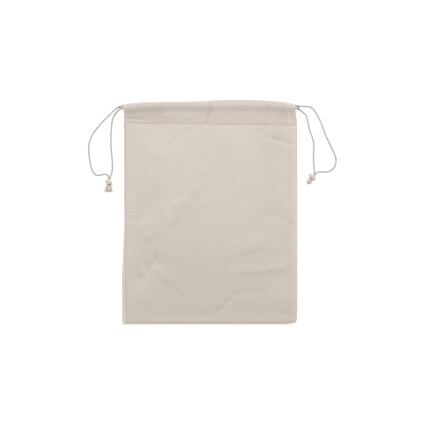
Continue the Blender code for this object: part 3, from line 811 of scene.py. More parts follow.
def knot_axes(side):
    """Start of a knot on the surface, and the directions along and across it."""
    (x, y), heading = KNOTS[side][:2]
    angle = math.radians(heading)
    forward = np.array((math.cos(angle), math.sin(angle), 0.0))
    return np.array((x, y, 0.0)), forward, np.array((-forward[1], forward[0], 0.0))


def strand_route(name):
    """A free strand from the casing's open end, along its route, to its knot."""
    layer, share, track = STRAND_STARTS[name]
    side = 1.0 if share > 0.5 else -1.0
    start = np.array(track_point(layer, track, share)) + np.array((side * GAP, 0.0, 0.0))
    straight = start + np.array((side * CORD_DIAMETER, 0.0, 0.0))
    knot_start, forward, aside = knot_axes("left" if side < 0 else "right")
    outer = name in ("left_back_strand", "right_front_strand")
    sign = -1.0 if outer == (side < 0) else 1.0
    last = knot_start + np.array((0.0, 0.0, CORD_DIAMETER / 2)) + aside * sign * (CORD_DIAMETER + GAP) / 2
    last = last - forward * GAP
    ends = [last - forward * 1.5 * CORD_DIAMETER, last]
    points = smooth_route([start, straight, *STRAND_ROUTES[name], *ends], CORD_STEP)
    points[:, 2] = np.maximum(points[:, 2], CORD_DIAMETER / 2)
    return points


# Materials


def new_group(name, inputs, outputs):
    """An empty shader group with named sockets, and its two ends."""
    tree = bpy.data.node_groups.new(name, "ShaderNodeTree")
    for label, kind, value in inputs:
        socket = tree.interface.new_socket(name=label, in_out="INPUT", socket_type=kind)
        if value is not None:
            socket.default_value = value
    for label, kind in outputs:
        tree.interface.new_socket(name=label, in_out="OUTPUT", socket_type=kind)
    return tree, tree.nodes.new("NodeGroupInput"), tree.nodes.new("NodeGroupOutput")


def plug(tree, socket, value):
    """Joins a socket to another, or sets its value."""
    if isinstance(value, bpy.types.NodeSocket):
        tree.links.new(value, socket)
    else:
        socket.default_value = value


def add_math(tree, operation, *values, clamp=False):
    """A Math node's output."""
    node = tree.nodes.new("ShaderNodeMath")
    node.operation = operation
    node.use_clamp = clamp
    for socket, value in zip(node.inputs, values):
        plug(tree, socket, value)
    return node.outputs[0]


def add_band(tree, value, start, full, fading, end):
    """1 in a band of values, easing to 0 on both sides of it."""
    rising = add_range(tree, value, start, full, 0.0, 1.0)
    return add_math(tree, "MULTIPLY", rising, add_range(tree, value, fading, end, 1.0, 0.0))


def toned(colour, tone=1.0):
    """A colour's four values, made paler or darker by a tone."""
    return (*[part * tone for part in colour], 1.0)


def add_noise(tree, vector, scale, detail=2.0, roughness=0.5):
    """A Noise Texture's plain value."""
    node = tree.nodes.new("ShaderNodeTexNoise")
    plug(tree, node.inputs["Vector"], vector)
    node.inputs["Scale"].default_value = scale
    node.inputs["Detail"].default_value = detail
    node.inputs["Roughness"].default_value = roughness
    return node.outputs["Fac"]


def add_range(tree, value, low, high, to_low, to_high):
    """A smooth Map Range's output."""
    node = tree.nodes.new("ShaderNodeMapRange")
    node.interpolation_type = "SMOOTHSTEP"
    for socket, item in zip(node.inputs, (value, low, high, to_low, to_high)):
        plug(tree, socket, item)
    return node.outputs[0]


def add_mix(tree, factor, first, second, kind="MIX"):
    """A colour Mix node's output."""
    node = tree.nodes.new("ShaderNodeMix")
    node.data_type = "RGBA"
    node.blend_type = kind
    plug(tree, node.inputs["Factor"], factor)
    plug(tree, node.inputs["A"], first)
    plug(tree, node.inputs["B"], second)
    return node.outputs["Result"]


def add_mapping(tree, vector, scale):
    """A Mapping node's output with one scale for each axis."""
    node = tree.nodes.new("ShaderNodeMapping")
    plug(tree, node.inputs["Vector"], vector)
    node.inputs["Scale"].default_value = scale
    return node.outputs[0]


def weave_group():
    """Plain weave: the height of crossing threads, with their uneven thickness."""
    tree, entry, leave = new_group(
        "Plain weave",
        (("Vector", "NodeSocketVector", None), ("Threads per metre", "NodeSocketFloat", 1900.0)),
        (("Height", "NodeSocketFloat"), ("Gaps", "NodeSocketFloat")),
    )
    wobble = tree.nodes.new("ShaderNodeTexNoise")
    plug(tree, wobble.inputs["Vector"], entry.outputs["Vector"])
    wobble.inputs["Scale"].default_value = 160.0
    shift = tree.nodes.new("ShaderNodeVectorMath")
    shift.operation = "MULTIPLY_ADD"
    plug(tree, shift.inputs[0], wobble.outputs["Color"])
    shift.inputs[1].default_value = (0.0006, 0.0006, 0.0)
    plug(tree, shift.inputs[2], entry.outputs["Vector"])
    parts = tree.nodes.new("ShaderNodeSeparateXYZ")
    plug(tree, parts.inputs[0], shift.outputs[0])
    pitch = add_math(tree, "MULTIPLY", entry.outputs["Threads per metre"], math.pi)
    across = add_math(tree, "SINE", add_math(tree, "MULTIPLY", parts.outputs["X"], pitch))
    upward = add_math(tree, "SINE", add_math(tree, "MULTIPLY", parts.outputs["Y"], pitch))
    over = add_math(tree, "GREATER_THAN", add_math(tree, "MULTIPLY", across, upward), 0.0)
    warp = add_math(tree, "ABSOLUTE", across)
    weft = add_math(tree, "ABSOLUTE", upward)
    raised = add_math(tree, "MULTIPLY", over, add_math(tree, "SUBTRACT", warp, weft))
    height = add_math(tree, "ADD", weft, raised)
    plug(tree, leave.inputs["Height"], height)
    lowest = add_math(tree, "MINIMUM", warp, weft)
    plug(tree, leave.inputs["Gaps"], add_range(tree, lowest, 0.0, 0.35, 1.0, 0.0))


def cotton_group():
    """Undyed cotton: soft patches, threads of uneven tone along both directions, and a few dark specks."""
    tree, entry, leave = new_group(
        "Undyed cotton",
        (
            ("Color", "NodeSocketColor", (0.6, 0.55, 0.5, 1.0)),
            ("Vector", "NodeSocketVector", None),
            ("Variation", "NodeSocketFloat", 1.0),
        ),
        (("Color", "NodeSocketColor"),),
    )
    vector = entry.outputs["Vector"]
    amount = entry.outputs["Variation"]

    def uneven(noise):
        """A noise as a small change of tone."""
        return add_range(tree, noise, 0.3, 0.7, -TONE_SPREAD, TONE_SPREAD)

    patches = uneven(add_noise(tree, vector, 26.0, 4.0, 0.55))
    warp = uneven(add_noise(tree, add_mapping(tree, vector, (900.0, 30.0, 60.0)), 1.0, 3.0))
    weft = uneven(add_noise(tree, add_mapping(tree, vector, (30.0, 900.0, 60.0)), 1.0, 3.0))
    total = add_math(tree, "ADD", add_math(tree, "ADD", warp, weft), patches)
    value = add_math(tree, "MULTIPLY_ADD", total, amount, 1.0)
    scale = tree.nodes.new("ShaderNodeVectorMath")
    scale.operation = "SCALE"
    plug(tree, scale.inputs[0], entry.outputs["Color"])
    plug(tree, scale.inputs["Scale"], value)
    warm = add_range(tree, add_noise(tree, vector, 14.0, 3.0), 0.35, 0.65, 0.0, 0.12)
    warmth = add_math(tree, "MULTIPLY", warm, amount)
    tinted = add_mix(tree, warmth, scale.outputs[0], WARM_TINT, "MULTIPLY")
    grains = add_noise(tree, add_mapping(tree, vector, (1.0, 1.3, 1.0)), 420.0, 0.0)
    speck = add_range(tree, grains, 0.805, 0.835, 0.0, 0.20)
    specked = add_mix(tree, add_math(tree, "MULTIPLY", speck, amount), tinted, SPECK_COLOUR)
    plug(tree, leave.inputs["Color"], specked)


def fuzz_group():
    """Fine loose fibres of spun cotton: a height and a tone."""
    tree, entry, leave = new_group(
        "Spun fibres",
        (("Vector", "NodeSocketVector", None), ("Fibres", "NodeSocketFloat", 1.0)),
        (("Height", "NodeSocketFloat"), ("Tone", "NodeSocketFloat")),
    )
    scaled = tree.nodes.new("ShaderNodeVectorMath")
    scaled.operation = "SCALE"
    plug(tree, scaled.inputs[0], entry.outputs["Vector"])
    plug(tree, scaled.inputs["Scale"], entry.outputs["Fibres"])
    stretched = add_mapping(tree, scaled.outputs[0], (60.0, 9.0, 1.0))
    lines = add_noise(tree, stretched, 1.0, 4.0, 0.6)
    plug(tree, leave.inputs["Height"], lines)
    plug(tree, leave.inputs["Tone"], add_range(tree, lines, 0.3, 0.7, 0.90, 1.08))


def base_material(name, roughness, sheen):
    """The node tree and the Principled shader of a new material."""
    material = bpy.data.materials.new(name)
    material.use_nodes = True
    shader = material.node_tree.nodes["Principled BSDF"]
    shader.inputs["Roughness"].default_value = roughness
    shader.inputs["Sheen Weight"].default_value = sheen
    shader.inputs["Sheen Roughness"].default_value = 0.6
    shader.inputs["Specular IOR Level"].default_value = 0.2
    return material.node_tree, shader


def place_group(tree, name):
    """A shader group's node."""
    node = tree.nodes.new("ShaderNodeGroup")
    node.node_tree = bpy.data.node_groups[name]
    return node


def add_bump(tree, shader, height, distance, strength):
    """Feeds a height to the shader's normal."""
    bump = tree.nodes.new("ShaderNodeBump")
    bump.inputs["Strength"].default_value = strength
    bump.inputs["Distance"].default_value = distance
    plug(tree, bump.inputs["Height"], height)
    plug(tree, shader.inputs["Normal"], bump.outputs["Normal"])


def cloth_material(name, colour, seam_colour, mouth_shade_colour, variation):
    """Woven cotton, in the seam colour over the seam allowances, with a darker mouth colour as painted shade
    where the front hem overhangs the back hem.
    """
    tree, shader = base_material(name, 0.93, 0.06)
    where = tree.nodes.new("ShaderNodeTexCoord").outputs["Object"]
    weave = place_group(tree, "Plain weave")
    plug(tree, weave.inputs["Vector"], where)
    cotton = place_group(tree, "Undyed cotton")
    plug(tree, cotton.inputs["Vector"], where)
    plug(tree, cotton.inputs["Variation"], variation)
    tone = toned(colour)
    if seam_colour is not None:
        distance = tree.nodes.new("ShaderNodeAttribute")
        distance.attribute_name = "side_distance"
        left = distance.outputs["Fac"]
        right = add_math(tree, "MULTIPLY", left, -1.0)
        lines = (add_band(tree, right, *RIGHT_SEAM_LINE), add_band(tree, left, *LEFT_SEAM_LINE))
        tone = add_mix(tree, add_math(tree, "ADD", *lines, clamp=True), tone, toned(seam_colour))
        rim = add_range(tree, right, *RIGHT_RIM, 1.0, 0.0)
        rim = add_math(tree, "MULTIPLY", rim, add_math(tree, "GREATER_THAN", right, 0.0))
        tone = add_mix(tree, rim, tone, toned(colour, RIGHT_RIM_TONE))
    if mouth_shade_colour is not None:
        # Painted shade on the back hem's rim under the front hem's overhang
        mouth = tree.nodes.new("ShaderNodeAttribute")
        mouth.attribute_name = "mouth_shade_mask"
        tone = add_mix(tree, mouth.outputs["Fac"], tone, toned(mouth_shade_colour))
    plug(tree, cotton.inputs["Color"], tone)
    # Painted shade in the gaps of the weave
    depth = add_math(tree, "MULTIPLY", weave.outputs["Gaps"], GAP_SHADE)
    shaded = add_mix(tree, depth, cotton.outputs["Color"], GAP_SHADE_COLOUR)
    plug(tree, shader.inputs["Base Color"], shaded)
    rough = add_range(tree, weave.outputs["Height"], 0.2, 1.0, 0.98, 0.88)
    plug(tree, shader.inputs["Roughness"], rough)
    fibres = add_noise(tree, where, 2600.0, 2.0)
    height = add_math(tree, "MULTIPLY_ADD", fibres, 0.5, weave.outputs["Height"])
    add_bump(tree, shader, height, 0.00012, 0.55)


def cord_material(name, colour):
    """Spun cotton cord, in patches of uneven tone, with fibres along its plies."""
    tree, shader = base_material(name, 0.90, 0.0)
    along = tree.nodes.new("ShaderNodeUVMap")
    along.uv_map = "Along cord"
    fibres = place_group(tree, "Spun fibres")
    plug(tree, fibres.inputs["Vector"], along.outputs["UV"])
    where = tree.nodes.new("ShaderNodeTexCoord").outputs["Object"]
    patches = add_range(tree, add_noise(tree, where, 240.0, 3.0), 0.3, 0.7, 0.0, 1.0)
    tone = add_mix(tree, patches, toned(colour), toned(colour, 0.90))
    scale = tree.nodes.new("ShaderNodeVectorMath")
    scale.operation = "SCALE"
    plug(tree, scale.inputs[0], tone)
    plug(tree, scale.inputs["Scale"], fibres.outputs["Tone"])
    plug(tree, shader.inputs["Base Color"], scale.outputs[0])
    add_bump(tree, shader, fibres.outputs["Height"], 0.00012, 0.6)


def thread_material(name, colour):
    """Spun sewing thread."""
    tree, shader = base_material(name, 0.75, 0.05)
    where = tree.nodes.new("ShaderNodeTexCoord").outputs["Object"]
    turns = add_noise(tree, where, 5200.0, 2.0)
    shade = add_range(tree, turns, 0.35, 0.65, 0.0, 1.0)
    tone = add_mix(tree, shade, toned(colour), toned(colour, 0.82))
    plug(tree, shader.inputs["Base Color"], tone)
    add_bump(tree, shader, turns, 0.00004, 0.5)


# Repeated pieces


def add_geometry_input(tree, label, kind, value=None):
    """A named input of a geometry tree."""
    socket = tree.interface.new_socket(name=label, in_out="INPUT", socket_type=kind)
    if value is not None:
        socket.default_value = value


def stitch_tree():
    """Short round stitches at even steps along a line, each turned to the line."""
    tree = bpy.data.node_groups.new("Stitch row", "GeometryNodeTree")
    add_geometry_input(tree, "Line", "NodeSocketGeometry")
    add_geometry_input(tree, "Spacing", "NodeSocketFloat", 0.003)
    add_geometry_input(tree, "Stitch length", "NodeSocketFloat", 0.0023)
    add_geometry_input(tree, "Thread", "NodeSocketFloat", 0.0004)
    add_geometry_input(tree, "Slant", "NodeSocketFloat", 0.0)
    add_geometry_input(tree, "Seed", "NodeSocketInt", 3)
    add_geometry_input(tree, "Material", "NodeSocketMaterial")
    tree.interface.new_socket(name="Stitches", in_out="OUTPUT", socket_type="NodeSocketGeometry")
    entry = tree.nodes.new("NodeGroupInput")
    leave = tree.nodes.new("NodeGroupOutput")
    curve = tree.nodes.new("GeometryNodeMeshToCurve")
    even = tree.nodes.new("GeometryNodeResampleCurve")
    even.mode = "LENGTH"
    ball = tree.nodes.new("GeometryNodeMeshUVSphere")
    ball.inputs["Segments"].default_value = 6
    ball.inputs["Rings"].default_value = 4
    ball.inputs["Radius"].default_value = 0.5
    size = tree.nodes.new("ShaderNodeCombineXYZ")
    stretch = tree.nodes.new("GeometryNodeTransform")
    tangent = tree.nodes.new("GeometryNodeInputTangent")
    align = tree.nodes.new("FunctionNodeAlignRotationToVector")
    align.axis = "X"
    align.pivot_axis = "Z"
    jitter = tree.nodes.new("FunctionNodeRandomValue")
    jitter.data_type = "FLOAT"
    jitter.inputs[2].default_value = -0.09
    jitter.inputs[3].default_value = 0.09
    lean = tree.nodes.new("ShaderNodeMath")
    lean.operation = "ADD"
    turn = tree.nodes.new("ShaderNodeCombineXYZ")
    rotate = tree.nodes.new("FunctionNodeRotateRotation")
    rotate.rotation_space = "LOCAL"
    place = tree.nodes.new("GeometryNodeInstanceOnPoints")
    real = tree.nodes.new("GeometryNodeRealizeInstances")
    finish = tree.nodes.new("GeometryNodeSetMaterial")
    link = tree.links.new
    link(entry.outputs["Line"], curve.inputs["Mesh"])
    link(curve.outputs[0], even.inputs["Curve"])
    link(entry.outputs["Spacing"], even.inputs["Length"])
    link(entry.outputs["Stitch length"], size.inputs["X"])
    link(entry.outputs["Thread"], size.inputs["Y"])
    link(entry.outputs["Thread"], size.inputs["Z"])
    link(ball.outputs["Mesh"], stretch.inputs["Geometry"])
    link(size.outputs[0], stretch.inputs["Scale"])
    link(tangent.outputs[0], align.inputs["Vector"])
    link(entry.outputs["Seed"], jitter.inputs["Seed"])
    link(jitter.outputs[1], lean.inputs[0])
    link(entry.outputs["Slant"], lean.inputs[1])
    link(lean.outputs[0], turn.inputs["Z"])
    link(align.outputs[0], rotate.inputs["Rotation"])
    link(turn.outputs[0], rotate.inputs["Rotate By"])
    link(even.outputs[0], place.inputs["Points"])
    link(stretch.outputs[0], place.inputs["Instance"])
    link(rotate.outputs[0], place.inputs["Rotation"])
    link(place.outputs[0], real.inputs[0])
    link(real.outputs[0], finish.inputs["Geometry"])
    link(entry.outputs["Material"], finish.inputs["Material"])
    link(finish.outputs[0], leave.inputs[0])


def fibre_tree():
    """Copies of one fibre on points, turned and sized by what each point says."""
    tree = bpy.data.node_groups.new("Frayed fibres", "GeometryNodeTree")
    add_geometry_input(tree, "Roots", "NodeSocketGeometry")
    add_geometry_input(tree, "Thickness", "NodeSocketFloat", 0.0003)
    add_geometry_input(tree, "Bend", "NodeSocketFloat", 0.12)
    add_geometry_input(tree, "Seed", "NodeSocketInt", 5)
    add_geometry_input(tree, "Material", "NodeSocketMaterial")
    tree.interface.new_socket(name="Fibres", in_out="OUTPUT", socket_type="NodeSocketGeometry")
    entry = tree.nodes.new("NodeGroupInput")
    leave = tree.nodes.new("NodeGroupOutput")
    rod = tree.nodes.new("GeometryNodeMeshCone")
    rod.inputs["Vertices"].default_value = 6
    rod.inputs["Side Segments"].default_value = 5
    rod.inputs["Radius Top"].default_value = 0.25
    rod.inputs["Radius Bottom"].default_value = 0.5
    rod.inputs["Depth"].default_value = 1.0
    where = tree.nodes.new("GeometryNodeInputPosition")
    parts = tree.nodes.new("ShaderNodeSeparateXYZ")
    square = tree.nodes.new("ShaderNodeMath")
    square.operation = "POWER"
    square.inputs[1].default_value = 2.0
    curl = tree.nodes.new("ShaderNodeMath")
    curl.operation = "MULTIPLY"
    offset = tree.nodes.new("ShaderNodeCombineXYZ")
    named_length = tree.nodes.new("GeometryNodeInputNamedAttribute")
    named_length.data_type = "FLOAT"
    named_length.inputs["Name"].default_value = "fibre_length"
    named_turn = tree.nodes.new("GeometryNodeInputNamedAttribute")
    named_turn.data_type = "FLOAT_VECTOR"
    named_turn.inputs["Name"].default_value = "fibre_turn"
    size = tree.nodes.new("ShaderNodeCombineXYZ")
    to_turn = tree.nodes.new("FunctionNodeEulerToRotation")
    jitter = tree.nodes.new("FunctionNodeRandomValue")
    jitter.data_type = "FLOAT"
    jitter.inputs[2].default_value = 0.7
    jitter.inputs[3].default_value = 1.2
    thick = tree.nodes.new("ShaderNodeMath")
    thick.operation = "MULTIPLY"
    named_width = tree.nodes.new("GeometryNodeInputNamedAttribute")
    named_width.data_type = "FLOAT"
    named_width.inputs["Name"].default_value = "fibre_width"
    width = tree.nodes.new("ShaderNodeMath")
    width.operation = "MULTIPLY"
    shift = tree.nodes.new("GeometryNodeSetPosition")
    place = tree.nodes.new("GeometryNodeInstanceOnPoints")
    real = tree.nodes.new("GeometryNodeRealizeInstances")
    finish = tree.nodes.new("GeometryNodeSetMaterial")
    link = tree.links.new
    link(where.outputs[0], parts.inputs[0])
    link(parts.outputs["Z"], square.inputs[0])
    link(square.outputs[0], curl.inputs[0])
    link(entry.outputs["Bend"], curl.inputs[1])
    link(curl.outputs[0], offset.inputs["X"])
    link(rod.outputs["Mesh"], shift.inputs["Geometry"])
    link(offset.outputs[0], shift.inputs["Offset"])
    link(entry.outputs["Seed"], jitter.inputs["Seed"])
    link(jitter.outputs[1], thick.inputs[0])
    link(entry.outputs["Thickness"], thick.inputs[1])
    link(thick.outputs[0], width.inputs[0])
    link(named_width.outputs[0], width.inputs[1])
    link(width.outputs[0], size.inputs["X"])
    link(width.outputs[0], size.inputs["Y"])
    link(named_length.outputs[0], size.inputs["Z"])
    link(named_turn.outputs[0], to_turn.inputs[0])
    link(entry.outputs["Roots"], place.inputs["Points"])
    link(shift.outputs[0], place.inputs["Instance"])
    link(to_turn.outputs[0], place.inputs["Rotation"])
    link(size.outputs[0], place.inputs["Scale"])
    link(place.outputs[0], real.inputs[0])
    link(real.outputs[0], finish.inputs["Geometry"])
    link(entry.outputs["Material"], finish.inputs["Material"])
    link(finish.outputs[0], leave.inputs[0])


def grown(name, source, tree, values):
    """The plain mesh that a geometry tree makes from a source mesh, with its inputs set."""
    holder = bpy.data.objects.new(name + "_source", source)
    bpy.context.collection.objects.link(holder)
    modifier = holder.modifiers.new("Grow", "NODES")
    modifier.node_group = tree
    sockets = {item.name: item for item in tree.interface.items_tree if item.item_type == "SOCKET"}
    for label, value in values.items():
        modifier[sockets[label].identifier] = value
    graph = bpy.context.evaluated_depsgraph_get()
    graph.update()
    mesh = bpy.data.meshes.new_from_object(holder.evaluated_get(graph), depsgraph=graph)
    holder.modifiers.clear()
    bpy.data.objects.remove(holder, do_unlink=True)
    mesh.name = name
    return mesh


def line_mesh(name, points):
    """A mesh of edges through a line of points."""
    mesh = bpy.data.meshes.new(name)
    mesh.from_pydata([tuple(point) for point in points], [(i, i + 1) for i in range(len(points) - 1)], [])
    return mesh


def joined(name, meshes, material):
    """One object from several meshes."""
    items = [add_object(f"{name}_{index}", mesh, material) for index, mesh in enumerate(meshes)]
    with bpy.context.temp_override(active_object=items[0], selected_editable_objects=items, object=items[0]):
        bpy.ops.object.join()
    items[0].name = name
    items[0].data.name = name
    return items[0]


def finish_piece(item, *nodes, slot):
    """Rides the whole bag and stands for its frame nodes. Its slot is not used."""
    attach(item, "root")
    if nodes:
        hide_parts(*nodes)
    return item


# Settings


def colour_property(name, description, default):
    """A colour that a user may change."""
    return FloatVectorProperty(
        name=name,
        description=description,
        default=default,
        subtype="COLOR",
        min=0.0,
        max=1.0,
    )


def length_property(name, description, default, low, high):
    """A length that a user may change."""
    return FloatProperty(
        name=name,
        description=description,
        default=default,
        min=low,
        max=high,
        subtype="DISTANCE",
        unit="LENGTH",
    )


class BagClothSettings(bpy.types.PropertyGroup):
    """Colours and grain of the cloth."""

    front_colour: colour_property("Front colour", "Colour of the front panel", (0.630, 0.572, 0.518))
    back_colour: colour_property(
        "Back colour",
        "Colour of the back panel, seen past the front's left edge",
        (0.680, 0.632, 0.590),
    )
    hem_painted_shade_colour: colour_property(
        # Painted shade: the hems are coloured darker than the front, standing for the shade on their band
        # and the less light their doubled cloth lets through
        "Hem colour",
        "Colour of the doubled cloth of the hems",
        (0.592, 0.531, 0.480),
    )
    seam_colour: colour_property(
        "Seam colour",
        "Colour of the cloth over its seam allowances",
        (0.652, 0.558, 0.515),
    )
    variation: FloatProperty(
        name="Variation",
        description="How uneven the cotton's tone is",
        default=1.0,
        min=0.0,
        max=3.0,
    )
    columns: IntProperty(name="Columns", description="Points across the front", default=176, min=20, max=190)
    rows: IntProperty(name="Rows", description="Points up the front", default=206, min=20, max=220)


class BagCordSettings(bpy.types.PropertyGroup):
    """Size, twist and colours of the cords."""

    lay: length_property("Twist", "Length of one full twist of the cord", 0.0085, 0.003, 0.03)
    cord_colour: colour_property("Cord colour", "Colour of the drawcords", (0.540, 0.545, 0.505))
    # Painted light: the knots are the cords' cotton coloured paler, to offset the shade among their turns
    # and frayed fibres
    knot_painted_paler_colour: colour_property(
        "Knot colour",
        "Colour of the knots and their frayed ends",
        (0.760, 0.685, 0.635),
    )
    yarns: IntProperty(name="Yarns", description="Yarns in each frayed end", default=90, min=0, max=200)
    fibres: IntProperty(name="Fibres", description="Fibres in each frayed end", default=120, min=0, max=400)
    seed: IntProperty(name="Seed", description="Changes how the fibres spread", default=7, min=0)


class BagStitchSettings(bpy.types.PropertyGroup):
    """Stitches of the hems."""

    spacing: length_property("Spacing", "Step from one stitch to the next", 0.0030, 0.001, 0.01)
    length: length_property(
        "Stitch length",
        "Length of thread that shows in one stitch",
        0.0024,
        0.001,
        0.01,
    )
    thread: length_property("Thread", "Thickness of the thread", 0.00045, 0.0001, 0.002)
    colour: colour_property("Thread colour", "Colour of the sewing thread", (0.620, 0.565, 0.510))


class BagStageSettings(bpy.types.PropertyGroup):
    """Camera, floor and light."""

    camera_height: length_property(
        "Camera height",
        "Height of the camera over the floor",
        2.84,
        0.5,
        10.0,
    )
    key_power: FloatProperty(
        name="Key light",
        description="Power of the soft light beyond the mouth",
        default=31.0,
        min=0.0,
        max=500.0,
        subtype="POWER",
    )
    sky: FloatProperty(name="Sky", description="Strength of the even light", default=0.60, min=0.0, max=5.0)


# Operators


class BAG_OT_stage(bpy.types.Operator):
    """Makes the camera, the pale floor and the soft light"""

    bl_idname = "drawbag.stage"
    bl_label = "Stage"

    def execute(self, context):
        settings = context.scene.bag_stage
        camera = bpy.data.cameras.new("camera")
        camera.lens = CAMERA_LENS
        camera.sensor_width = CAMERA_SENSOR
        camera.clip_end = 50.0
        viewer = bpy.data.objects.new("camera", camera)
        viewer.location = (*CAMERA_PLACE, settings.camera_height)
        context.collection.objects.link(viewer)
        context.scene.camera = viewer
        corners = np.array([(-1.0, -1.0, 0.0), (1.0, -1.0, 0.0), (1.0, 1.0, 0.0), (-1.0, 1.0, 0.0)])
        corners = corners * FLOOR_REACH + (0.0, 0.0, FLOOR_LEVEL)
        floor = mesh_from("floor", corners, [[0, 1, 2, 3]])
        material = bpy.data.materials.new("pale floor")
        material.use_nodes = True
        shader = material.node_tree.nodes["Principled BSDF"]
        shader.inputs["Base Color"].default_value = (FLOOR_TONE, FLOOR_TONE, FLOOR_TONE, 1.0)
        shader.inputs["Roughness"].default_value = 0.9
        shader.inputs["Emission Color"].default_value = (1.0, 1.0, 1.0, 1.0)
        shader.inputs["Emission Strength"].default_value = FLOOR_GLOW
        add_object("floor", floor, "pale floor")
        key = bpy.data.lights.new("key light", "AREA")
        key.shape = "RECTANGLE"
        key.size, key.size_y = KEY_SIZE
        key.energy = settings.key_power
        key.color = (1.0, 1.0, 1.0)
        lamp = bpy.data.objects.new("key light", key)
        lamp.location = KEY_PLACE
        lamp.rotation_euler = (Vector((0.0, 0.0, 0.0)) - lamp.location).to_track_quat("-Z", "Y").to_euler()
        context.collection.objects.link(lamp)
        world = bpy.data.worlds.new("sky")
        world.use_nodes = True
        background = world.node_tree.nodes["Background"]
        background.inputs["Color"].default_value = (1.0, 1.0, 1.0, 1.0)
        background.inputs["Strength"].default_value = settings.sky
        context.scene.world = world
        context.scene.view_settings.view_transform = "Standard"
        return {"FINISHED"}


class BAG_OT_shared_looks(bpy.types.Operator):
    """Makes the shader groups, the materials and the geometry trees that the pieces share"""

    bl_idname = "drawbag.shared_looks"
    bl_label = "Shared looks"

    def execute(self, context):
        cloth = context.scene.bag_cloth
        cord = context.scene.bag_cord
        weave_group()
        cotton_group()
        fuzz_group()
        stitch_tree()
        fibre_tree()
        # Painted shade for the back hem's rim under the front hem
        shade = [part * MOUTH_SHADE for part in cloth.hem_painted_shade_colour]
        cloths = (
            ("front cotton", cloth.front_colour, cloth.seam_colour, None),
            ("back cotton", cloth.back_colour, None, None),
            ("hem cotton", cloth.hem_painted_shade_colour, cloth.seam_colour, shade),
            ("seam cotton", cloth.seam_colour, None, None),
        )
        for name, colour, seam_colour, mouth_shade_colour in cloths:
            cloth_material(name, colour, seam_colour, mouth_shade_colour, cloth.variation)
        cord_material("cord cotton", cord.cord_colour)
        # The knots' cotton is the cords' cotton painted paler, to offset the shade among its turns and
        # fibres
        cord_material("knot cotton", cord.knot_painted_paler_colour)
        thread_material("sewing thread", context.scene.bag_stitch.colour)
        thread_material("frayed cotton", [min(1.0, part * FRAY_PAINTED_PALER) for part in cord.knot_painted_paler_colour])
        return {"FINISHED"}


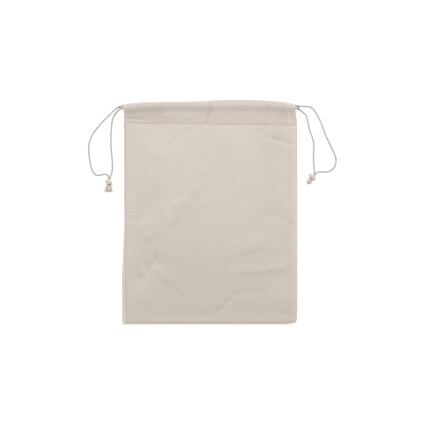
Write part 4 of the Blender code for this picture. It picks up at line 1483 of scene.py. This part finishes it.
class BAG_OT_knots(bpy.types.Operator):
    """Makes the two knots with their frayed ends"""

    bl_idname = "drawbag.knots"
    bl_label = "Knots"

    def execute(self, context):
        settings = context.scene.bag_cord
        for side in ("left", "right"):
            knot = add_object(side + "_knot_cords", self.cords(side, settings), "knot cotton")
            finish_piece(knot, side + "_knot", slot="knot_cotton")
            fray = add_object(side + "_knot_fray", self.fray(side, settings), "frayed cotton")
            finish_piece(fray, slot="knot_cotton")
        return {"FINISHED"}

    def placed(self, side, points):
        """Points given along, across and above a knot, in the bag's own frame."""
        start, forward, aside = knot_axes(side)
        points = np.asarray(points, dtype=float)
        up = np.array((0.0, 0.0, 1.0))
        return start + points[:, :1] * forward + points[:, 1:2] * aside + points[:, 2:3] * up

    def cords(self, side, settings):
        """Two straight cords, and the turns that are drawn tight round them."""
        _, _, length, reach, _, lean = KNOTS[side]
        parts = []
        for sign in (-1.0, 1.0):
            core = [(along, sign * apart + lean * share, above) for along, apart, share, above in KNOT_CORES]
            points = smooth_route(self.placed(side, core), CORD_STEP)
            taper = np.interp(np.linspace(0, 1, len(points)), (0.0, 0.8, 1.0), (1.0, 1.0, 0.75))
            parts.append(twisted_cord(points, CORD_DIAMETER, settings.lay, taper=taper))
        for index in range(WRAPS):
            wrap = []
            first = (WRAP_START + index * WRAP_SPACING) * length
            for step in range(WRAP_STEPS + 1):
                share = step / WRAP_STEPS
                angle = math.radians(WRAP_FIRST_ANGLE + WRAP_SWEEP * share)
                last_tuck = eased((share - (1.0 - WRAP_TUCK_SHARE)) / WRAP_TUCK_SHARE)
                first_tuck = eased((WRAP_TUCK_SHARE - share) / WRAP_TUCK_SHARE)
                grip = 1.0 - WRAP_TUCK * last_tuck - WRAP_TUCK * first_tuck
                along = first + WRAP_DRIFT * share + WRAP_SLANT * math.cos(angle)
                across = reach * grip * math.cos(angle) + lean * (1.0 - 0.3 * index)
                above = WRAP_LEVEL + WRAP_RISE * grip * math.sin(angle)
                wrap.append((along, across, max(above, CORD_DIAMETER / 2)))
            points = smooth_route(self.placed(side, wrap), CORD_STEP)
            parts.append(twisted_cord(points, CORD_DIAMETER * 1.02, settings.lay, turn=1.0 + index))
        return cord_mesh(side + "_knot_cords", parts)

    def fray(self, side, settings):
        """The loosened yarns and fine fibres that fan out from the cords' cut ends."""
        random = np.random.default_rng(settings.seed + (0 if side == "left" else 1))
        _, _, length, _, fan, lean = KNOTS[side]
        roots = []
        turns = []
        lengths = []
        widths = []
        for index in range(settings.yarns + settings.fibres):
            thick = index < settings.yarns
            spread = random.uniform(-1.0, 1.0)
            layer = random.random()
            root = FRAY_START * length + FRAY_START_SPREAD * random.random()
            begin = (root, FRAY_ROOT_REACH * spread + lean, FRAY_ROOT_LEVEL + FRAY_ROOT_RISE * layer)
            last = FRAY_END * length - FRAY_ROUND * spread**2 - FRAY_RAGGED * random.random()
            last += 0.0 if thick else FRAY_FIBRE_PAST
            height = FRAY_TIP_LEVEL + FRAY_TIP_RISE * layer * (1.0 - 0.4 * spread**2)
            end = (last, fan * spread + lean + FRAY_STRAY * random.normal(), height)
            start, finish = self.placed(side, (begin, end))
            line = Vector(finish - start)
            roots.append(tuple(start))
            lengths.append(line.length)
            widths.append(1.0 if thick else FIBRE_WIDTH)
            spin = Matrix.Rotation(random.uniform(0.0, 2.0 * math.pi), 3, "Z")
            turns.append(tuple((line.to_track_quat("Z", "Y").to_matrix() @ spin).to_euler()))
        source = bpy.data.meshes.new(side + "_fray_roots")
        source.from_pydata(roots, [], [])
        for label, numbers in (("fibre_length", lengths), ("fibre_width", widths)):
            layer = source.attributes.new(label, "FLOAT", "POINT")
            layer.data.foreach_set("value", np.array(numbers, dtype=np.float32))
        layer = source.attributes.new("fibre_turn", "FLOAT_VECTOR", "POINT")
        layer.data.foreach_set("vector", np.array(turns, dtype=np.float32).reshape(-1))
        values = {
            "Thickness": YARN_THICKNESS,
            "Bend": YARN_BEND,
            "Seed": settings.seed,
            "Material": bpy.data.materials["frayed cotton"],
        }
        return grown(side + "_knot_fray", source, bpy.data.node_groups["Frayed fibres"], values)


class BAG_OT_free_strands(bpy.types.Operator):
    """Makes the four free strands between the casings and the knots"""

    bl_idname = "drawbag.free_strands"
    bl_label = "Free strands"

    def execute(self, context):
        settings = context.scene.bag_cord
        for name in STRAND_ROUTES:
            points = strand_route(name)
            mesh = cord_mesh(name + "_cord", [twisted_cord(points, CORD_DIAMETER, settings.lay)])
            item = add_object(name + "_cord", mesh, "cord cotton")
            finish_piece(item, name, slot="cord_cotton")
        return {"FINISHED"}


class BAG_OT_held_cords(bpy.types.Operator):
    """Makes the stretches of drawcord inside the casings"""

    bl_idname = "drawbag.held_cords"
    bl_label = "Held cords"

    def execute(self, context):
        settings = context.scene.bag_cord
        routes = {
            "left_cord_held": held_route(1.0, SECOND_TRACK, FIRST_TRACK),
            "right_cord_held": held_route(0.0, FIRST_TRACK, SECOND_TRACK),
        }
        for name, points in routes.items():
            mesh = cord_mesh(name + "_cord", [twisted_cord(points, CORD_DIAMETER, settings.lay, sides=12)])
            item = add_object(name + "_cord", mesh, "cord cotton")
            finish_piece(item, name, slot="cord_cotton")
        return {"FINISHED"}


class BAG_OT_front(bpy.types.Operator):
    """Makes the front panel with its folds and rolled edges"""

    bl_idname = "drawbag.front"
    bl_label = "Front panel"

    def execute(self, context):
        settings = context.scene.bag_cloth
        outer = front_grid(0, settings.columns, settings.rows, EDGE_TURNS)
        inner = front_grid(1, settings.columns, settings.rows, EDGE_TURNS)
        distance = [("side_distance", side_distance(outer))]
        item = wall("front_cloth", outer, inner, "front cotton", distance)
        finish_piece(item, "front_panel", slot="front_cotton")
        return {"FINISHED"}


class BAG_OT_back(bpy.types.Operator):
    """Makes the back panel, flat on the surface"""

    bl_idname = "drawbag.back"
    bl_label = "Back panel"

    def execute(self, context):
        rim = np.array(BACK_RIM)
        near = rim / BAG_WIDTH
        share = np.concatenate((near, np.linspace(0.015, 0.985, 93), 1.0 - near[::-1]))
        up = np.concatenate((rim / BAG_HEIGHT, np.linspace(0.012, 1.0, 114)))
        up, share = np.meshgrid(up, share, indexing="ij")
        y = mix(back_bottom(share), hem_y(share, 3) - GAP / 4, up)
        x = across_x(BACK_EDGES, y, share)
        relief = 0.00012 * waves(x, y, 0.06, 41) + 0.00008 * waves(x, y, 0.02, 42)
        inside = np.minimum(np.minimum(share, 1.0 - share) * BAG_WIDTH, up * BAG_HEIGHT)
        rounded = BACK_RIM_DROP * (1.0 - np.clip(inside / BACK_RIM[-1], 0.0, 1.0)) ** 2
        outer = np.stack((x, y, CLOTH - BACK_SINK + relief - rounded), axis=-1)
        inner = np.stack((x, y, np.maximum(relief, 0.0)), axis=-1)
        item = wall("back_cloth", outer, inner, "back cotton")
        finish_piece(item, "back_panel", slot="back_cotton")
        return {"FINISHED"}


class BAG_OT_hems(bpy.types.Operator):
    """Makes the hems of the front and the back, folded round the cords"""

    bl_idname = "drawbag.hems"
    bl_label = "Hems"

    def execute(self, context):
        pieces = (
            (1, "front_hem", "front_casing", 190),
            (2, "back_hem", "back_casing", 110),
        )
        for layer, name, node, across in pieces:
            outer, inner = casing_grid(layer, across)
            attributes = [("side_distance", side_distance(outer)), ("mouth_shade_mask", self.mouth_shade_mask(layer, outer))]
            item = wall(name, outer, inner, "hem cotton", attributes)
            finish_piece(item, node, slot="hem_cotton")
        return {"FINISHED"}

    def mouth_shade_mask(self, layer, outer):
        """Where shade is painted: 1 on the rim of the back hem that the front hem overhangs, falling to 0
        away from it.
        """
        if layer == 1:
            return np.zeros(outer.shape[:2])
        deep = outer[:, :, 1].max(axis=1, keepdims=True) - outer[..., 1]
        rim = np.exp(-(((deep - MOUTH_RIM) / MOUTH_RIM_WIDTH) ** 2))
        return np.where(outer[..., 2] > ROUND_CASING / 2, rim, 0.0)


class BAG_OT_seams(bpy.types.Operator):
    """Makes the seam allowances inside the sides and the bottom"""

    bl_idname = "drawbag.seams"
    bl_label = "Seam allowances"

    def execute(self, context):
        for name, side, share in (("left_seam", -1, 0.0), ("right_seam", 1, 1.0)):
            low = float(front_bottom(share)) + EDGE_ROLL
            high = float(hem_y(share, 3)) - HEM_OVERLAP - GAP
            y = np.linspace(low, high, 120)
            x = edge_x(FRONT_EDGES, y, side) - side * EDGE_ROLL
            lines = [np.stack((x - side * SEAM_WIDTH * step, y), axis=-1) for step in np.linspace(0, 1, 8)]
            self.strip(name, np.stack(lines, axis=1), share)
        along = np.linspace(0.0, 1.0, 100)
        lines = []
        for up in EDGE_ROLL + SEAM_WIDTH * np.linspace(0, 1, 8):
            y = BOTTOM_Y + up
            inset = EDGE_ROLL + SEAM_WIDTH + GAP
            left = float(edge_x(FRONT_EDGES, y, -1)) + inset
            right = float(edge_x(FRONT_EDGES, y, 1)) - inset
            x = mix(left, right, along)
            share = (x - left + inset) / (right - left + 2 * inset)
            lines.append(np.stack((x, front_bottom(share) + up), axis=-1))
        self.strip("bottom_seam", np.stack(lines, axis=1), share[:, None])
        return {"FINISHED"}

    def strip(self, name, line, share):
        """Two layers of cloth, a little wavy, under the front."""
        x = line[..., 0]
        y = line[..., 1]
        room = front_level(x, y, share) - THIN_CLOTH - GAP
        level = np.minimum(SEAM_TOP - 0.0001 + 0.00010 * waves(x, y, 0.012, 51), room)
        top = np.stack((x, y, level), axis=-1)
        under = np.stack((x, y, np.full_like(x, CLOTH + GAP / 2)), axis=-1)
        item = wall(name + "_cloth", top, under, "seam cotton")
        finish_piece(item, name, slot="seam_cotton")


class BAG_OT_stitches(bpy.types.Operator):
    """Makes the rows of stitches that hold the hems down"""

    bl_idname = "drawbag.stitches"
    bl_label = "Stitches"

    def execute(self, context):
        settings = context.scene.bag_stitch
        share = np.linspace(STITCH_INSET, 1.0 - STITCH_INSET, 200)
        y = hem_y(share, 3) + STITCH_RISE
        x = across_x(FRONT_EDGES, y, share)
        top = hem_y(share, 1)
        base = casing_base(share, top - y)
        level = base + FLAT_CASING + pucker(x, y, (top - y) / HEM_DEPTH)
        front = np.stack((x, y, level + FRONT_THREAD_LIFT), axis=-1)
        back_x = across_x(BACK_EDGES, y, share)
        back = np.stack((back_x, y, np.full_like(x, FLAT_CASING + BACK_THREAD_LIFT)), axis=-1)
        rows = (("front_hem_stitches", front), ("back_hem_stitches", back))
        meshes = [self.row(name, points, settings) for name, points in rows]
        item = joined("hem_stitches", meshes, "sewing thread")
        finish_piece(item, slot="hem_cotton")
        return {"FINISHED"}

    def row(self, name, points, settings):
        """One row of stitches along a line of points."""
        values = {
            "Spacing": settings.spacing,
            "Stitch length": settings.length,
            "Thread": settings.thread,
            "Slant": STITCH_SLANT,
            "Seed": 3,
            "Material": bpy.data.materials["sewing thread"],
        }
        return grown(name, line_mesh(name + "_line", points), bpy.data.node_groups["Stitch row"], values)


class BAG_PT_sidebar(bpy.types.Panel):
    """Lists the bag's pieces and their settings"""

    bl_idname = "BAG_PT_sidebar"
    bl_label = "Drawstring bag"
    bl_space_type = "VIEW_3D"
    bl_region_type = "UI"
    bl_category = "Bag"

    def draw(self, context):
        layout = self.layout
        for label in ("bag_stage", "bag_cloth", "bag_cord", "bag_stitch"):
            settings = getattr(context.scene, label)
            box = layout.box()
            for field in type(settings).bl_rna.properties:
                if field.identifier not in ("rna_type", "name"):
                    box.prop(settings, field.identifier)
        for operator in OPERATORS:
            layout.operator(operator.bl_idname)


SETTINGS = {
    "bag_stage": BagStageSettings,
    "bag_cloth": BagClothSettings,
    "bag_cord": BagCordSettings,
    "bag_stitch": BagStitchSettings,
}
OPERATORS = (
    BAG_OT_stage,
    BAG_OT_shared_looks,
    BAG_OT_knots,
    BAG_OT_free_strands,
    BAG_OT_held_cords,
    BAG_OT_seams,
    BAG_OT_back,
    BAG_OT_front,
    BAG_OT_hems,
    BAG_OT_stitches,
)


def register():
    for item in (*SETTINGS.values(), *OPERATORS, BAG_PT_sidebar):
        bpy.utils.register_class(item)
    for name, group in SETTINGS.items():
        setattr(bpy.types.Scene, name, PointerProperty(type=group))


def unregister():
    for name in SETTINGS:
        delattr(bpy.types.Scene, name)
    for item in reversed((*SETTINGS.values(), *OPERATORS, BAG_PT_sidebar)):
        bpy.utils.unregister_class(item)


def main():
    """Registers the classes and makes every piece."""
    register()
    for operator in OPERATORS:
        group, _, name = operator.bl_idname.partition(".")
        getattr(getattr(bpy.ops, group), name)()


if __name__ == "__main__":
    main()
